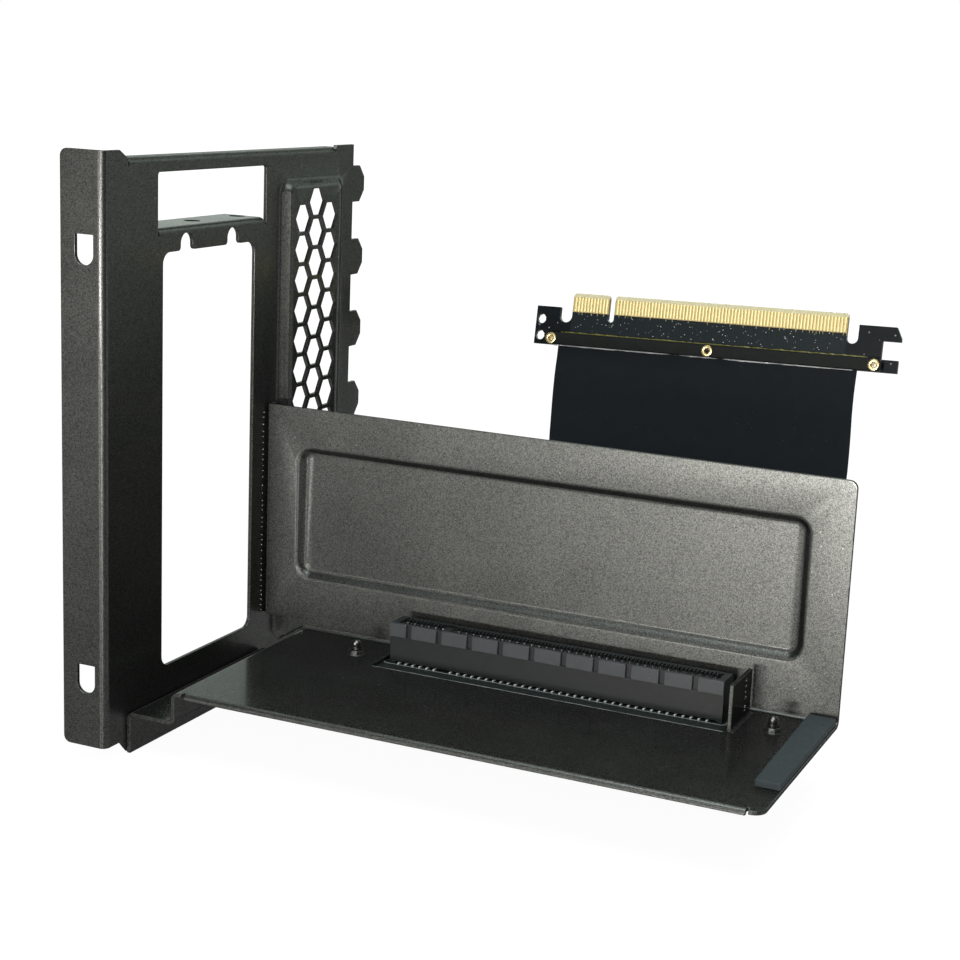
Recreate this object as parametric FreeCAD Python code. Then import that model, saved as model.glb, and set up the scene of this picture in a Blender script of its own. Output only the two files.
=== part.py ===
# Vertical graphics card mount: a folded rear bracket, a folded tray that carries the card on its edge,
# and the card slot with its ribbon cable and plug. Millimetres, +Z up.
# It is laid out from the bracket plate's inner face (X 0), the flange's front face (Y 0) and the
# plate's lower edge (Z 0). The pieces are written out from the middle of the two flange slots.
import FreeCAD
import Part
import os
from math import cos, hypot, radians, sin, sqrt, tan

# Folded sheet
sheet = 1.0
bend = 0.8                   # inside radius of a fold
fold_relief = 0.6            # slit beside a fold that ends inside the sheet
slot_pitch = 20.32           # spacing of expansion slots, in the case and on the card
small_sides = 9              # flats on screws, eyelets and their holes

# Bracket plate and its case tabs
slots_spanned = 7
plate_depth = 113.9
top_corner_rise = 0.7        # the plate's rear top corner stands above the rim
tab_height = 10.0
tab_reach = 6.4
tab_slope_along = 2.6
tab_slope_up = 3.1

# Front flange and its two open slots
flange_width = 12.0
flange_low = 3.4
flange_rise = 1.9            # above the plate's top
flange_corner = 1.8
step_start = 6.1             # the plate steps down from the flange's height between these two
step_end = 9.2
case_slot_inset = 5.5        # from the plate's inner face
case_slot_width = 4.9
case_slot_length = 7.0
case_slot_first = 20.1       # from the plate's lower edge
case_slots_apart = 5         # in slot pitches

# Rim along the plate's top, folded outwards
rim_reach = 6.0
rim_start = 9.8
rim_short = 9.7              # its fold stops this far from the plate's rear edge
rim_tail = 4.0               # its flat runs on this far behind the fold

# Window for the card's sockets, with two round notches in its top edge
window_front = 23.0
window_width = 40.4
window_low = 17.5
window_height = 102.2
window_corner = 2.8
notch_front = 9.85           # from the window's front edge to the first notch
notch_width = 5.1
notch_rise = 4.2
notch_flare = 1.0

# Opening over the ledge that takes the card's bracket screws
opening_front = 20.9
opening_width = 47.7
opening_height = 13.5
opening_corner = 1.3
ledge_top = 125.5
ledge_reach = 12.3
ledge_hole = 4.0
ledge_hole_back = 3.28       # from the opening's rear edge to the second hole
ledge_hole_inset = 6.8

# Raised honeycomb vent
vent_gap = 1.0               # from the tray's side flange
vent_margin = 5.9            # behind it, to the plate's rear edge
vent_low = 9.9
vent_height = 124.8
vent_corner = 3.5
vent_rise = 3.0
vent_run = 1.9
vent_rear_run = 6.2          # its rear wall slopes more gently
vent_soft = 0.6              # ease of the pressed edges
hex_flats = 7.0
hex_web = 1.05

# Tray
tray_front = 8.5
tray_beyond = 25.3           # past the card slot's far end
trough_floor = 10.3
trough_width = 12.5
shelf_height = 17.5
shelf_corner = 3.0
lip_start = 16.0
lip_short = 3.9              # it stops this far from the tray's far end
lip_drop = 1.4
lip_bend = 0.2
panel_front = 69.6
panel_top = 76.8
panel_corner = 2.0
panel_notch_rise = 2.0       # the panel's lower left corner is cut away above the shelf
side_flange = 3.5            # folded back along the plate, behind the panel
recess_side = 10.1           # from the panel's ends to the pressed field
recess_above = 10.3          # from the panel's top to the pressed field
recess_height = 35.4
recess_corner = 4.0
recess_depth = 2.0
recess_run = 1.8
recess_soft = 0.6

# Foam strip on the shelf's far end
foam_width = 5.4
foam_inset = 0.2             # from the shelf's far edge
foam_thickness = 1.8
foam_length = 46.9
foam_back = 0.9              # from the panel

# Cut-out for the card slot, with a tab folded up at its far end
cut_margin = 1.4             # from the slot's left end
cut_front = 50.9
cut_back = 67.0
end_tab_gap = 3.4            # from the slot's right end
end_tab_rise = 11.3

# Card slot
slot_left = 44.6
slot_end = 1.9               # the housing past the connector's tongue, at each end
slot_width = 7.5
slot_height = 10.5
slot_standoff = 0.45
slot_foot = 1.6
card_plane = 61.75           # the middle of the card's board
card_groove = 1.75
groove_floor = 2.6
groove_clearance = 0.1
pad_height = 3.4
pad_proud = 0.6
pad_pitch = 8.5
pad_first = 4.6
pad_gap = 1.5
cavity_drop = 0.5
cavity_reach = 1.35
contact_width = 0.4
contact_thickness = 0.25
contact_top_drop = 0.8
contact_clearance = 0.1
tail_proud = 0.7

# Edge connector, shared by the slot and the plug
contact_pitch = 1.0
contacts_short = 11
contacts_long = 71
end_land = 0.825             # from a segment's end to its first contact
key_width = 1.9

# Slot board and its screws
board = 1.6
board_before = 13.6          # past the card slot's near end
board_beyond = 17.4          # past its far end
board_front = 47.0
board_depth = 29.0
screw_before = 9.0           # from the card slot's near end to the first screw
screw_beyond = 12.8          # from its far end to the second
screw_line = 57.3
screw_diameter = 2.9
screw_clearance = 0.1
screw_tip_rise = 3.0
screw_tip_chamfer = 0.5
screw_head = 5.6
screw_head_height = 1.9
screw_head_slope = 0.6
boss_base = 4.6
boss_top = 4.0
boss_rise = 1.2

# Ribbon cable, its clamp bars and eyelets
ribbon = 1.0
ribbon_beyond = 3.8          # past the tongue, at each side
ribbon_shift = 0.9           # from the tongue's middle to the ribbon's
ribbon_bend = 42.0
ribbon_knee = 8.0            # below the plug's board, where it turns from the plug's lean
ribbon_lean = 3.0
ribbon_overlap = 2.4         # of the ribbon's end on each board
clamp_thickness = 1.6
clamp_height = 3.7
clamp_before = 7.4           # past the tongue's near end
clamp_beyond = 11.6          # past its far end
clamp_corner = 0.8
eyelet_first = 2.3           # from the clamp's end
eyelet_bore = 1.5
eyelet_barrel = 2.1
eyelet_flange = 3.4
eyelet_lip = 0.3
eyelet_clearance = 0.1

# Plug, placed by the top left corner of its tongue; it leans back and stands a little askew
plug_aside = 5.0             # its tongue hangs this far nearer the bracket than the slot's
plug_back = 179.0
plug_top = 99.3
plug_lean = 12.8
plug_roll = 1.35
tongue_bevel = 1.2
tongue_bevel_depth = 0.45
tongue_chamfer = 0.5
key_depth = 8.1
finger_length = 4.3
finger_width = 0.7
finger_crown = 0.06
plug_depth = 16.2            # from the tongue's top to the board's lower edge
tail_length = 11.6
tail_top = 4.6
tail_notch = 4.0
tail_notch_depth = 9.1
tail_hole = 2.8
tail_hole_inset = 1.75
tail_hole_low = 2.7
tail_holes_apart = 5.0
hook_notch = 3.4
hook_notch_depth = 8.6
hook_top = 3.0
hook_length = 12.5
hook_slope_along = 1.5
hook_slope_down = 3.0
hook_thickness = 4.2
hook_neck = 7.2
ear_length = 12.2
ear_height = 3.7

V = FreeCAD.Vector
rearward = V(0, 1, 0)
upward = V(0, 0, 1)
plate_height = slots_spanned * slot_pitch
tongue_short = 2 * end_land + (contacts_short - 1) * contact_pitch
tongue_long = 2 * end_land + (contacts_long - 1) * contact_pitch
tongue_length = tongue_short + key_width + tongue_long
slot_length = tongue_length + 2 * slot_end
slot_right = slot_left + slot_length
tongue_left = slot_left + slot_end
tray_length = slot_right + tray_beyond
screw_places = (slot_left - screw_before, slot_right + screw_beyond)
plug_left = tongue_left - plug_aside
clamp_length = clamp_before + tongue_length + clamp_beyond
eyelet_places = [eyelet_first, clamp_length / 2, clamp_length - eyelet_first]
vent_front = panel_front + sheet + side_flange + vent_gap
vent_back = plate_depth - vent_margin
vent_flat = (vent_front + vent_run, vent_back - vent_rear_run)
board_top = shelf_height - sheet
board_low = board_top - board
panel_middle = panel_front + sheet / 2
shelf_middle = shelf_height - sheet / 2
slot_top = board_top + slot_height


def xy(level):
    return lambda a, b: V(a, b, level)


def xz(level):
    return lambda a, b: V(a, level, b)


def yz(level):
    return lambda a, b: V(level, a, b)


def block(x, y, z):
    return Part.makeBox(x[1] - x[0], y[1] - y[0], z[1] - z[0], V(x[0], y[0], z[0]))


def polygon(points, place, push):
    corners = [place(a, b) for a, b in points]
    return Part.Face(Part.makePolygon(corners + corners[:1])).extrude(push)


def rounded(a, b, radius, place):
    """Outline of a rectangle between the limits a and b, with round corners."""
    edges = []
    lean = radius * (1 - sqrt(0.5))
    corners = [(a[0], b[0], 1, 1), (a[1], b[0], -1, 1), (a[1], b[1], -1, -1), (a[0], b[1], 1, -1)]
    stops = []
    for turn, (p, q, right, up) in enumerate(corners):
        beside = place(p + right * radius, q)
        above = place(p, q + up * radius)
        ends = (above, beside) if turn % 2 == 0 else (beside, above)
        edges.append(Part.Arc(ends[0], place(p + right * lean, q + up * lean), ends[1]).toShape())
        stops.append(ends)
    for before, after in zip(stops, stops[1:] + stops[:1]):
        edges.append(Part.makeLine(before[1], after[0]))
    return Part.Wire(Part.__sortEdges__(edges))


def rounded_prism(a, b, radius, place, push):
    return Part.Face(rounded(a, b, radius, place)).extrude(push)


def folded(corners, thickness, inside, place, push):
    """A sheet folded at corners, which run down the middle of its thickness, pushed to its width."""
    middle = [V(a, b, 0) for a, b in corners]
    runs = [(after - before).normalize() for before, after in zip(middle, middle[1:])]
    sides = [V(-run.y, run.x, 0) for run in runs]
    radius = inside + thickness / 2
    edges = []
    ends = []

    def flat(point):
        return place(point.x, point.y)

    for offset in (thickness / 2, -thickness / 2):
        start = middle[0] + sides[0] * offset
        ends.append(start)
        for i, corner in enumerate(middle[1:-1]):
            hand = 1 if runs[i].cross(runs[i + 1]).z > 0 else -1
            setback = radius * tan(runs[i].getAngle(runs[i + 1]) / 2)
            centre = corner - runs[i] * setback + sides[i] * radius * hand
            reach = radius - hand * offset
            entry = centre - sides[i] * hand * reach
            crown = centre + (corner - centre).normalize() * reach
            leave = centre - sides[i + 1] * hand * reach
            edges.append(Part.makeLine(flat(start), flat(entry)))
            edges.append(Part.Arc(flat(entry), flat(crown), flat(leave)).toShape())
            start = leave
        stop = middle[-1] + sides[-1] * offset
        edges.append(Part.makeLine(flat(start), flat(stop)))
        ends.append(stop)
    edges.append(Part.makeLine(flat(ends[0]), flat(ends[2])))
    edges.append(Part.makeLine(flat(ends[1]), flat(ends[3])))
    return Part.Face(Part.Wire(Part.__sortEdges__(edges))).extrude(push)


def tapered(a, b, corner, run, rise, soft, plane, base, extra=0):
    """A round-cornered block that narrows by run on every side over its rise, its edges eased by soft.

    It narrows by extra more at the upper limit of a.
    """
    slope = hypot(run, rise)
    along = soft * run / slope
    up = soft * rise / slope
    steps = [(-soft, 0), (along, up), (run - along, rise - up), (run + soft, rise)]
    wires = []
    for inset, level in steps if soft else [(0, 0), (run, rise)]:
        first = (a[0] + inset, a[1] - inset - extra * level / rise)
        second = (b[0] + inset, b[1] - inset)
        wires.append(rounded(first, second, corner - inset, plane(base + level)))
    return Part.makeLoft(wires, True, True)


def grown(limits, amount):
    return (limits[0] - amount, limits[1] + amount)


def wall_growth(run, rise):
    """How far a pressed wall's far side lies outside its near side, at a wall as thick as the sheet."""
    return sheet * (hypot(run, rise) - run) / rise


def edges_at(shape, **where):
    """Straight edges whose middle has the given x, y or z."""
    found = []
    for edge in shape.Edges:
        middle = edge.BoundBox.Center
        if all(abs(getattr(middle, axis) - value) < 1e-4 for axis, value in where.items()):
            found.append(edge)
    return found


def ring(radius, centre, way):
    """A closed outline of small flats around way, which is along Y or Z."""
    across = V(1, 0, 0)
    up = way.cross(across)
    points = []
    for turn in range(small_sides):
        angle = radians(360 * (turn + 0.5) / small_sides)
        points.append(centre + across * (radius * cos(angle)) + up * (radius * sin(angle)))
    return Part.makePolygon(points + points[:1])


def turned(profile, foot, way):
    """A small turned piece in flats, from its radius and height at each step along way."""
    pieces = []
    for (start, low), (stop, high) in zip(profile, profile[1:]):
        if high > low:
            wires = [ring(start, foot + way * low, way), ring(stop, foot + way * high, way)]
            pieces.append(Part.makeLoft(wires, True, True))
    return merged(pieces) if len(pieces) > 1 else pieces[0]


def hole(radius, clearance, foot, way, depth):
    """A hole that a turned piece of the given radius goes through with the given clearance."""
    wide = (radius + clearance) / cos(radians(180 / small_sides))
    return turned([(wide, -depth), (wide, depth)], foot, way)


def merged(shapes):
    return shapes[0].fuse(shapes[1:]).removeSplitter()


def plate_outline():
    """The bracket seen from the side, with its case tabs, as Y and Z."""
    flange_top = plate_height + flange_rise
    rim_root = plate_height - sheet - bend
    tip = plate_depth + tab_reach
    points = [(0, flange_low), (step_start, flange_low), (step_end, 0), (plate_depth, 0)]
    for slot in range(slots_spanned):
        low = (slot + 0.5) * slot_pitch - tab_height / 2
        high = low + tab_height
        points.append((plate_depth, low))
        points.append((tip - tab_slope_along, low))
        points.append((tip, low + tab_slope_up))
        points.append((tip, high - tab_slope_up))
        points.append((tip - tab_slope_along, high))
        points.append((plate_depth, high))
    points.append((plate_depth, plate_height + top_corner_rise))
    points.append((plate_depth - rim_short, plate_height + top_corner_rise))
    points.append((plate_depth - rim_short, rim_root))
    points.append((rim_start - fold_relief, rim_root))
    points.append((rim_start - fold_relief, plate_height))
    points.append((step_start, flange_top))
    points.append((0, flange_top))
    return points


def case_slot(level):
    """A flange slot, flat above and round below, centred on its length."""
    radius = case_slot_width / 2
    low = level - case_slot_length / 2 + radius
    across = (-case_slot_inset - radius, -case_slot_inset + radius)
    through = (-sheet, 2 * sheet)
    top = level + case_slot_length / 2
    straight = block(across, through, (low, top))
    end = Part.makeCylinder(radius, 3 * sheet, V(-case_slot_inset, -sheet, low), V(0, 1, 0))
    return straight.fuse(end)


def honeycomb():
    """The vent's holes, flats above and below, as many as its flat top takes; each second column is lower."""
    pitch = hex_flats + hex_web
    column_step = pitch * sqrt(3) / 2
    side = hex_flats / sqrt(3)
    columns = 1 + int((vent_flat[1] - vent_flat[0] - 2 * side) / column_step)
    rows = 1 + int((vent_height - 2 * vent_run - hex_flats) / pitch)
    first_y = (vent_flat[0] + vent_flat[1] - (columns - 1) * column_step) / 2
    first_z = vent_low + (vent_height + (rows - 1) * pitch) / 2
    holes = []
    for column in range(columns):
        lower = (column - columns // 2) % 2
        for row in range(rows - lower):
            y = first_y + column * column_step
            z = first_z - (row + lower / 2) * pitch
            corners = []
            for turn in range(6):
                angle = radians(60 * turn)
                corners.append((y + side * cos(angle), z + side * sin(angle)))
            holes.append(polygon(corners, yz(vent_rise - 2 * sheet), V(3 * sheet, 0, 0)))
    return Part.makeCompound(holes)


def rear_bracket():
    middle = -sheet / 2
    flange_top = plate_height + flange_rise
    tip = plate_depth + tab_reach
    angle = [(-flange_width, sheet / 2), (middle, sheet / 2), (middle, tip)]
    plate = folded(angle, sheet, bend, xy(0), V(0, 0, flange_top))
    outline = polygon(plate_outline(), yz(-flange_width), V(flange_width, 0, 0))
    plate = plate.common(outline)

    opening_back = opening_front + opening_width
    ledge_root = ledge_top - sheet - bend
    through = V(3 * sheet, 0, 0)
    opening = rounded_prism((opening_front, opening_back), (ledge_root, ledge_top + opening_height),
                            opening_corner, yz(-2 * sheet), through)
    plate = plate.cut(opening)
    plate = plate.cut(block((-2 * sheet, sheet), (opening_front, opening_back), (ledge_root, ledge_top)))

    rim_path = [(middle, plate_height - 2 * (sheet + bend)), (middle, plate_height - sheet / 2),
                (-rim_reach, plate_height - sheet / 2)]
    rim_end = plate_depth - rim_short
    rim = folded(rim_path, sheet, bend, xz(rim_start), V(0, rim_end - rim_start, 0))
    tail = block((-rim_reach, -sheet - bend), (rim_end - sheet, rim_end + rim_tail),
                 (plate_height - sheet, plate_height))
    ledge_path = [(middle, ledge_root - sheet), (middle, ledge_top - sheet / 2),
                  (-ledge_reach, ledge_top - sheet / 2)]
    ledge_width = opening_width - 2 * fold_relief
    ledge = folded(ledge_path, sheet, bend, xz(opening_front + fold_relief), V(0, ledge_width, 0))
    for step in (1, 0):
        place = V(-ledge_hole_inset, opening_back - ledge_hole_back - step * slot_pitch, ledge_top - 2)
        ledge = ledge.cut(Part.makeCylinder(ledge_hole / 2, 4, place))

    window_back = window_front + window_width
    window_top = window_low + window_height
    grow = wall_growth(vent_run, vent_rise)
    vent_z = (vent_low, vent_low + vent_height)
    rear_extra = vent_rear_run - vent_run
    raised = tapered((vent_front, vent_back), vent_z, vent_corner, vent_run, vent_rise, vent_soft, yz, 0,
                     rear_extra)
    hollow_y = (vent_front + grow, vent_back - wall_growth(vent_rear_run, vent_rise))
    hollow = tapered(hollow_y, grown(vent_z, -grow), vent_corner - grow, vent_run, vent_rise, 0, yz, -sheet,
                     rear_extra)

    body = merged([plate, rim, tail, ledge, raised])
    cuts = [hollow, honeycomb()]
    cuts.append(rounded_prism((window_front, window_back), (window_low, window_top), window_corner,
                              yz(-2 * sheet), through))
    radius = notch_width / 2
    flares = []
    for step in range(2):
        y = window_front + notch_front + step * slot_pitch
        crown = window_top + notch_rise - radius
        cuts.append(Part.makeCylinder(radius, 3 * sheet, V(-2 * sheet, y, crown), V(1, 0, 0)))
        cuts.append(block((-2 * sheet, sheet), (y - radius, y + radius), (window_top - 1, crown)))
        flares += [y - radius, y + radius]
    for step in (0, case_slots_apart):
        cuts.append(case_slot(case_slot_first + step * slot_pitch))
    for cut in cuts:
        body = body.cut(cut)

    flared = []
    for y in flares:
        flared += edges_at(body, x=middle, y=y, z=window_top)
    body = body.makeFillet(notch_flare, flared)
    corners = edges_at(body, x=-flange_width, y=sheet / 2, z=flange_low)
    corners += edges_at(body, x=-flange_width, y=sheet / 2, z=flange_top)
    return body.makeFillet(flange_corner, corners)


def card_tray():
    relief = fold_relief
    trough_back = panel_front - bend - relief
    riser = trough_width + sheet / 2
    shelf_left = trough_width + sheet + bend
    shelf_front = tray_front + sheet + bend
    floor_middle = trough_floor - sheet / 2
    hem = [(sheet / 2, 0), (sheet / 2, floor_middle), (riser, floor_middle), (riser, shelf_middle),
           (lip_start - relief, shelf_middle)]
    trough = folded(hem, sheet, bend, xz(tray_front), V(0, trough_back - tray_front, 0))
    angle = [(shelf_front, shelf_middle), (panel_middle, shelf_middle), (panel_middle, panel_top)]
    shelf = folded(angle, sheet, bend, yz(shelf_left), V(tray_length - shelf_left, 0, 0))
    heel_path = [(trough_back + relief / 2, shelf_middle)] + angle[1:]
    heel = folded(heel_path, sheet, bend, yz(trough_width), V(shelf_left + sheet - trough_width, 0, 0))
    lip_path = [(tray_front + sheet / 2, shelf_height - lip_drop), (tray_front + sheet / 2, shelf_middle),
                (shelf_front + sheet, shelf_middle)]
    lip_end = tray_length - lip_short
    lip = folded(lip_path, sheet, lip_bend, yz(lip_start), V(lip_end - lip_start, 0, 0))
    corner = block((lip_end + relief, tray_length), (tray_front, shelf_front + sheet),
                   (board_top, shelf_height))
    notch_top = shelf_height + panel_notch_rise
    side = [(shelf_left + sheet, panel_middle), (sheet / 2, panel_middle),
            (sheet / 2, panel_front + sheet + side_flange)]
    wing = folded(side, sheet, bend, xy(notch_top), V(0, 0, panel_top - notch_top))

    recess_x = (recess_side, tray_length - recess_side)
    recess_z = (panel_top - recess_above - recess_height, panel_top - recess_above)
    grow = wall_growth(recess_run, recess_depth)
    back = tapered(grown(recess_x, grow), grown(recess_z, grow), recess_corner + grow, recess_run,
                   recess_depth, 0, xz, panel_front + sheet)
    field = tapered(recess_x, recess_z, recess_corner, recess_run, recess_depth, recess_soft, xz, panel_front)

    tab_left = slot_right + end_tab_gap
    tab_right = tab_left + sheet + bend
    cut_out = block((slot_left - cut_margin, tab_right), (cut_front, cut_back),
                    (board_top - 1, shelf_height + 1))
    tab_path = [(tab_right + sheet, shelf_middle), (tab_left + sheet / 2, shelf_middle),
                (tab_left + sheet / 2, shelf_height + end_tab_rise)]
    tab = folded(tab_path, sheet, bend, xz(cut_front + relief), V(0, cut_back - cut_front - 2 * relief, 0))

    body = merged([trough, shelf.cut(cut_out), heel, lip, corner, wing, back, tab])
    body = body.cut(field)
    for x in screw_places:
        foot = V(x, screw_line, shelf_height)
        body = body.fuse(turned([(boss_base / 2, -sheet / 2), (boss_base / 2, 0), (boss_top / 2, boss_rise)],
                                foot, upward))
        body = body.cut(hole(screw_diameter / 2, screw_clearance, foot, upward, 3 * sheet))
    body = body.removeSplitter()
    body = body.makeFillet(shelf_corner, edges_at(body, x=tray_length, y=tray_front, z=shelf_middle))
    return body.makeFillet(panel_corner, edges_at(body, x=tray_length, y=panel_middle, z=panel_top))


def foam_strip():
    right = tray_length - foam_inset
    back = panel_front - foam_back
    return block((right - foam_width, right), (back - foam_length, back),
                 (shelf_height, shelf_height + foam_thickness))


def contact_places(start):
    """Where the contacts stand along the edge: the short segment, the key, the long segment."""
    places = [start + end_land + i * contact_pitch for i in range(contacts_short)]
    second = start + tongue_short + key_width + end_land
    return places + [second + i * contact_pitch for i in range(contacts_long)]


def slot_housing():
    along = (slot_left, slot_right)
    half = slot_width / 2
    low = board_top + slot_standoff
    walls = block(along, (card_plane - half + pad_proud, card_plane + half - pad_proud), (low, slot_top))
    rail = block(along, (card_plane - half, card_plane + half), (slot_top - pad_height, slot_top))
    gaps = []
    for i in range(int((slot_length - pad_first) / pad_pitch) + 1):
        x = slot_left + pad_first + i * pad_pitch
        if x + pad_gap < slot_right:
            for side in (-1, 1):
                edge = sorted((card_plane + side * half, card_plane + side * (half - pad_proud)))
                gaps.append(block((x, x + pad_gap), edge, (slot_top - pad_height, slot_top)))
    feet = []
    for x in (slot_left, slot_right - slot_foot):
        feet.append(block((x, x + slot_foot), (card_plane - half + pad_proud, card_plane + half - pad_proud),
                          (board_top, low)))
    body = merged([walls, rail.cut(Part.makeCompound(gaps))] + feet)

    wide = card_groove / 2
    floor = low + groove_floor
    key_left = tongue_left + tongue_short + groove_clearance
    key_right = tongue_left + tongue_short + key_width - groove_clearance
    tongue_right = tongue_left + tongue_length
    grooves = [block((tongue_left - groove_clearance, key_left), (card_plane - wide, card_plane + wide),
                     (floor, slot_top)),
               block((key_right, tongue_right + groove_clearance), (card_plane - wide, card_plane + wide),
                     (floor, slot_top))]
    body = body.cut(Part.makeCompound(grooves))
    cavities = []
    places = contact_places(tongue_left)
    ends = [(places[0], places[contacts_short - 1]), (places[contacts_short], places[-1])]
    for first, last in ends:
        across = (first - contact_pitch / 2, last + contact_pitch / 2)
        cavities.append(block(across, (card_plane - wide - cavity_reach, card_plane + wide + cavity_reach),
                              (low, slot_top - cavity_drop)))
    return body.cut(Part.makeCompound(cavities))


def slot_contacts():
    """Every second contact on both sides of the groove: the blade, and the tail beside the housing."""
    contacts = []
    near = card_groove / 2 + contact_clearance
    far = near + contact_thickness
    top = slot_top - contact_top_drop - board_top
    tail = slot_width / 2 - pad_proud + tail_proud
    for x in contact_places(tongue_left)[::2]:
        for side in (-1, 1):
            blade = [(near, 0), (tail, 0), (tail, contact_thickness), (far, contact_thickness),
                     (far, top), (near, top)]
            points = [(card_plane + side * y, board_top + z) for y, z in blade]
            contacts.append(polygon(points, yz(x - contact_width / 2), V(contact_width, 0, 0)))
    return Part.makeCompound(contacts)


def clamp_line():
    """Y of the slot board's clamp and eyelets."""
    return board_front + board_depth - clamp_height / 2


def slot_clamp_left():
    return plug_left - clamp_before


def slot_board():
    body = block((slot_left - board_before, slot_right + board_beyond),
                 (board_front, board_front + board_depth), (board_low, board_top))
    for x in screw_places:
        place = V(x, screw_line, board_low)
        body = body.cut(hole(screw_diameter / 2, screw_clearance, place, upward, 2 * board))
    for x in eyelet_places:
        place = V(slot_clamp_left() + x, clamp_line(), board_low)
        body = body.cut(hole(eyelet_barrel / 2, eyelet_clearance, place, upward, 2 * board))
    return body


def slot_screws():
    screws = []
    tip = shelf_height + screw_tip_rise - board_low
    shank = screw_diameter / 2
    head = screw_head / 2
    profile = [(head - screw_head_slope, -screw_head_height), (head, -screw_head_height + screw_head_slope),
               (head, 0), (shank, 0), (shank, tip - screw_tip_chamfer), (shank - screw_tip_chamfer, tip)]
    for x in screw_places:
        screws.append(turned(profile, V(x, screw_line, board_low), upward))
    return Part.makeCompound(screws)


def clamp_bar():
    """A bar on its own origin: X along it, Z up its height, its back face on Y 0."""
    half = clamp_height / 2
    cut = half - clamp_corner
    outline = [(0, -cut), (clamp_corner, -half), (clamp_length - clamp_corner, -half), (clamp_length, -cut),
               (clamp_length, cut), (clamp_length - clamp_corner, half), (clamp_corner, half), (0, cut)]
    body = polygon(outline, xz(-clamp_thickness), V(0, clamp_thickness, 0))
    for x in eyelet_places:
        body = body.cut(hole(eyelet_barrel / 2, eyelet_clearance, V(x, 0, 0), rearward, 2 * clamp_thickness))
    return body


def eyelets():
    """The eyelets of a clamp bar on its own origin, through the bar, the ribbon and the board."""
    near = -clamp_thickness
    far = ribbon + board
    barrel = eyelet_barrel / 2
    flange = eyelet_flange / 2
    profile = [(flange, near - eyelet_lip), (flange, near), (barrel, near), (barrel, far), (flange, far),
               (flange, far + eyelet_lip)]
    pieces = []
    for x in eyelet_places:
        bore = hole(eyelet_bore / 2, 0, V(x, 0, 0), rearward, 2 * far)
        pieces.append(turned(profile, V(x, 0, 0), rearward).cut(bore))
    return Part.makeCompound(pieces)


def under_slot_board(piece):
    """Turns a piece made for a clamp bar so that its front faces down, under the slot board."""
    piece.rotate(V(0, 0, 0), V(1, 0, 0), 90)
    piece.translate(V(slot_clamp_left(), clamp_line(), board_low - ribbon))
    return piece


def on_plug(piece):
    """Places a piece made on the plug's own axes: X along the tongue, Z up, its front face on Y 0."""
    piece.rotate(V(0, 0, 0), V(0, 1, 0), -plug_roll)
    piece.rotate(V(0, 0, 0), V(1, 0, 0), -plug_lean)
    piece.translate(V(plug_left, plug_back, plug_top))
    return piece


def clamp_on_plug(piece):
    piece.translate(V(-clamp_before, -ribbon, -plug_depth + clamp_height / 2))
    return on_plug(piece)


def ribbon_cable():
    """Flat under the slot board, then one wide bend, then up to the plug."""
    flat = board_low - ribbon / 2
    lean = radians(plug_lean)
    start = board_front + board_depth - ribbon_overlap
    front_y = plug_back - ribbon / 2 * cos(lean)
    front_z = plug_top + ribbon / 2 * sin(lean)
    drop = plug_depth - ribbon_overlap - tongue_length / 2 * sin(radians(plug_roll))
    stop = (front_y - drop * sin(lean), front_z - drop * cos(lean))
    below = plug_depth + ribbon_knee
    knee = (front_y - below * sin(lean), front_z - below * cos(lean))
    turn = (knee[0] - (knee[1] - flat) * tan(radians(ribbon_lean)), flat)
    left = plug_left - ribbon_beyond + ribbon_shift
    ribbon_width = tongue_length + 2 * ribbon_beyond
    path = [(start, flat), turn, knee, stop]
    body = folded(path, ribbon, ribbon_bend, yz(left), V(ribbon_width, 0, 0))
    middle = V(eyelet_places[1], 0, 0)
    for place in (clamp_on_plug, under_slot_board):
        body = body.cut(place(hole(eyelet_barrel / 2, eyelet_clearance, middle, rearward, 3 * ribbon)))
    return body


def plug_outline():
    """The plug board's edge as lines and arcs, in X along the tongue and Z up."""
    points = [(0, -tail_notch_depth + tail_notch / 2)]
    edges = []

    def line_to(x, z):
        edges.append(Part.makeLine(V(points[-1][0], 0, points[-1][1]), V(x, 0, z)))
        points.append((x, z))

    def round_to(x, z):
        """Half a circle below the line from the last point to this one, for a notch."""
        last = points[-1]
        radius = abs(x - last[0]) / 2
        low = V((x + last[0]) / 2, 0, z - radius)
        edges.append(Part.Arc(V(last[0], 0, last[1]), low, V(x, 0, z)).toShape())
        points.append((x, z))

    chamfer = tongue_chamfer
    second = tongue_short + key_width
    key_floor = -key_depth + key_width / 2
    line_to(0, -chamfer)
    line_to(chamfer, 0)
    line_to(tongue_short - chamfer, 0)
    line_to(tongue_short, -chamfer)
    line_to(tongue_short, key_floor)
    round_to(second, key_floor)
    line_to(second, -chamfer)
    line_to(second + chamfer, 0)
    line_to(tongue_length - chamfer, 0)
    line_to(tongue_length, -chamfer)
    line_to(tongue_length, -hook_notch_depth + hook_notch / 2)
    hook_left = tongue_length + hook_notch
    hook_right = hook_left + hook_length
    round_to(hook_left, -hook_notch_depth + hook_notch / 2)
    line_to(hook_left, -hook_top)
    line_to(hook_right - hook_slope_along, -hook_top)
    line_to(hook_right, -hook_top - hook_slope_down)
    line_to(hook_right, -hook_top - hook_thickness)
    line_to(hook_left + hook_neck, -hook_top - hook_thickness)
    line_to(hook_left + hook_neck, -plug_depth + ear_height)
    line_to(hook_left + ear_length, -plug_depth + ear_height)
    line_to(hook_left + ear_length, -plug_depth)
    line_to(-tail_length, -plug_depth)
    line_to(-tail_length, -tail_top)
    line_to(-tail_notch, -tail_top)
    line_to(-tail_notch, -tail_notch_depth + tail_notch / 2)
    round_to(0, -tail_notch_depth + tail_notch / 2)
    return Part.Wire(edges)


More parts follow.
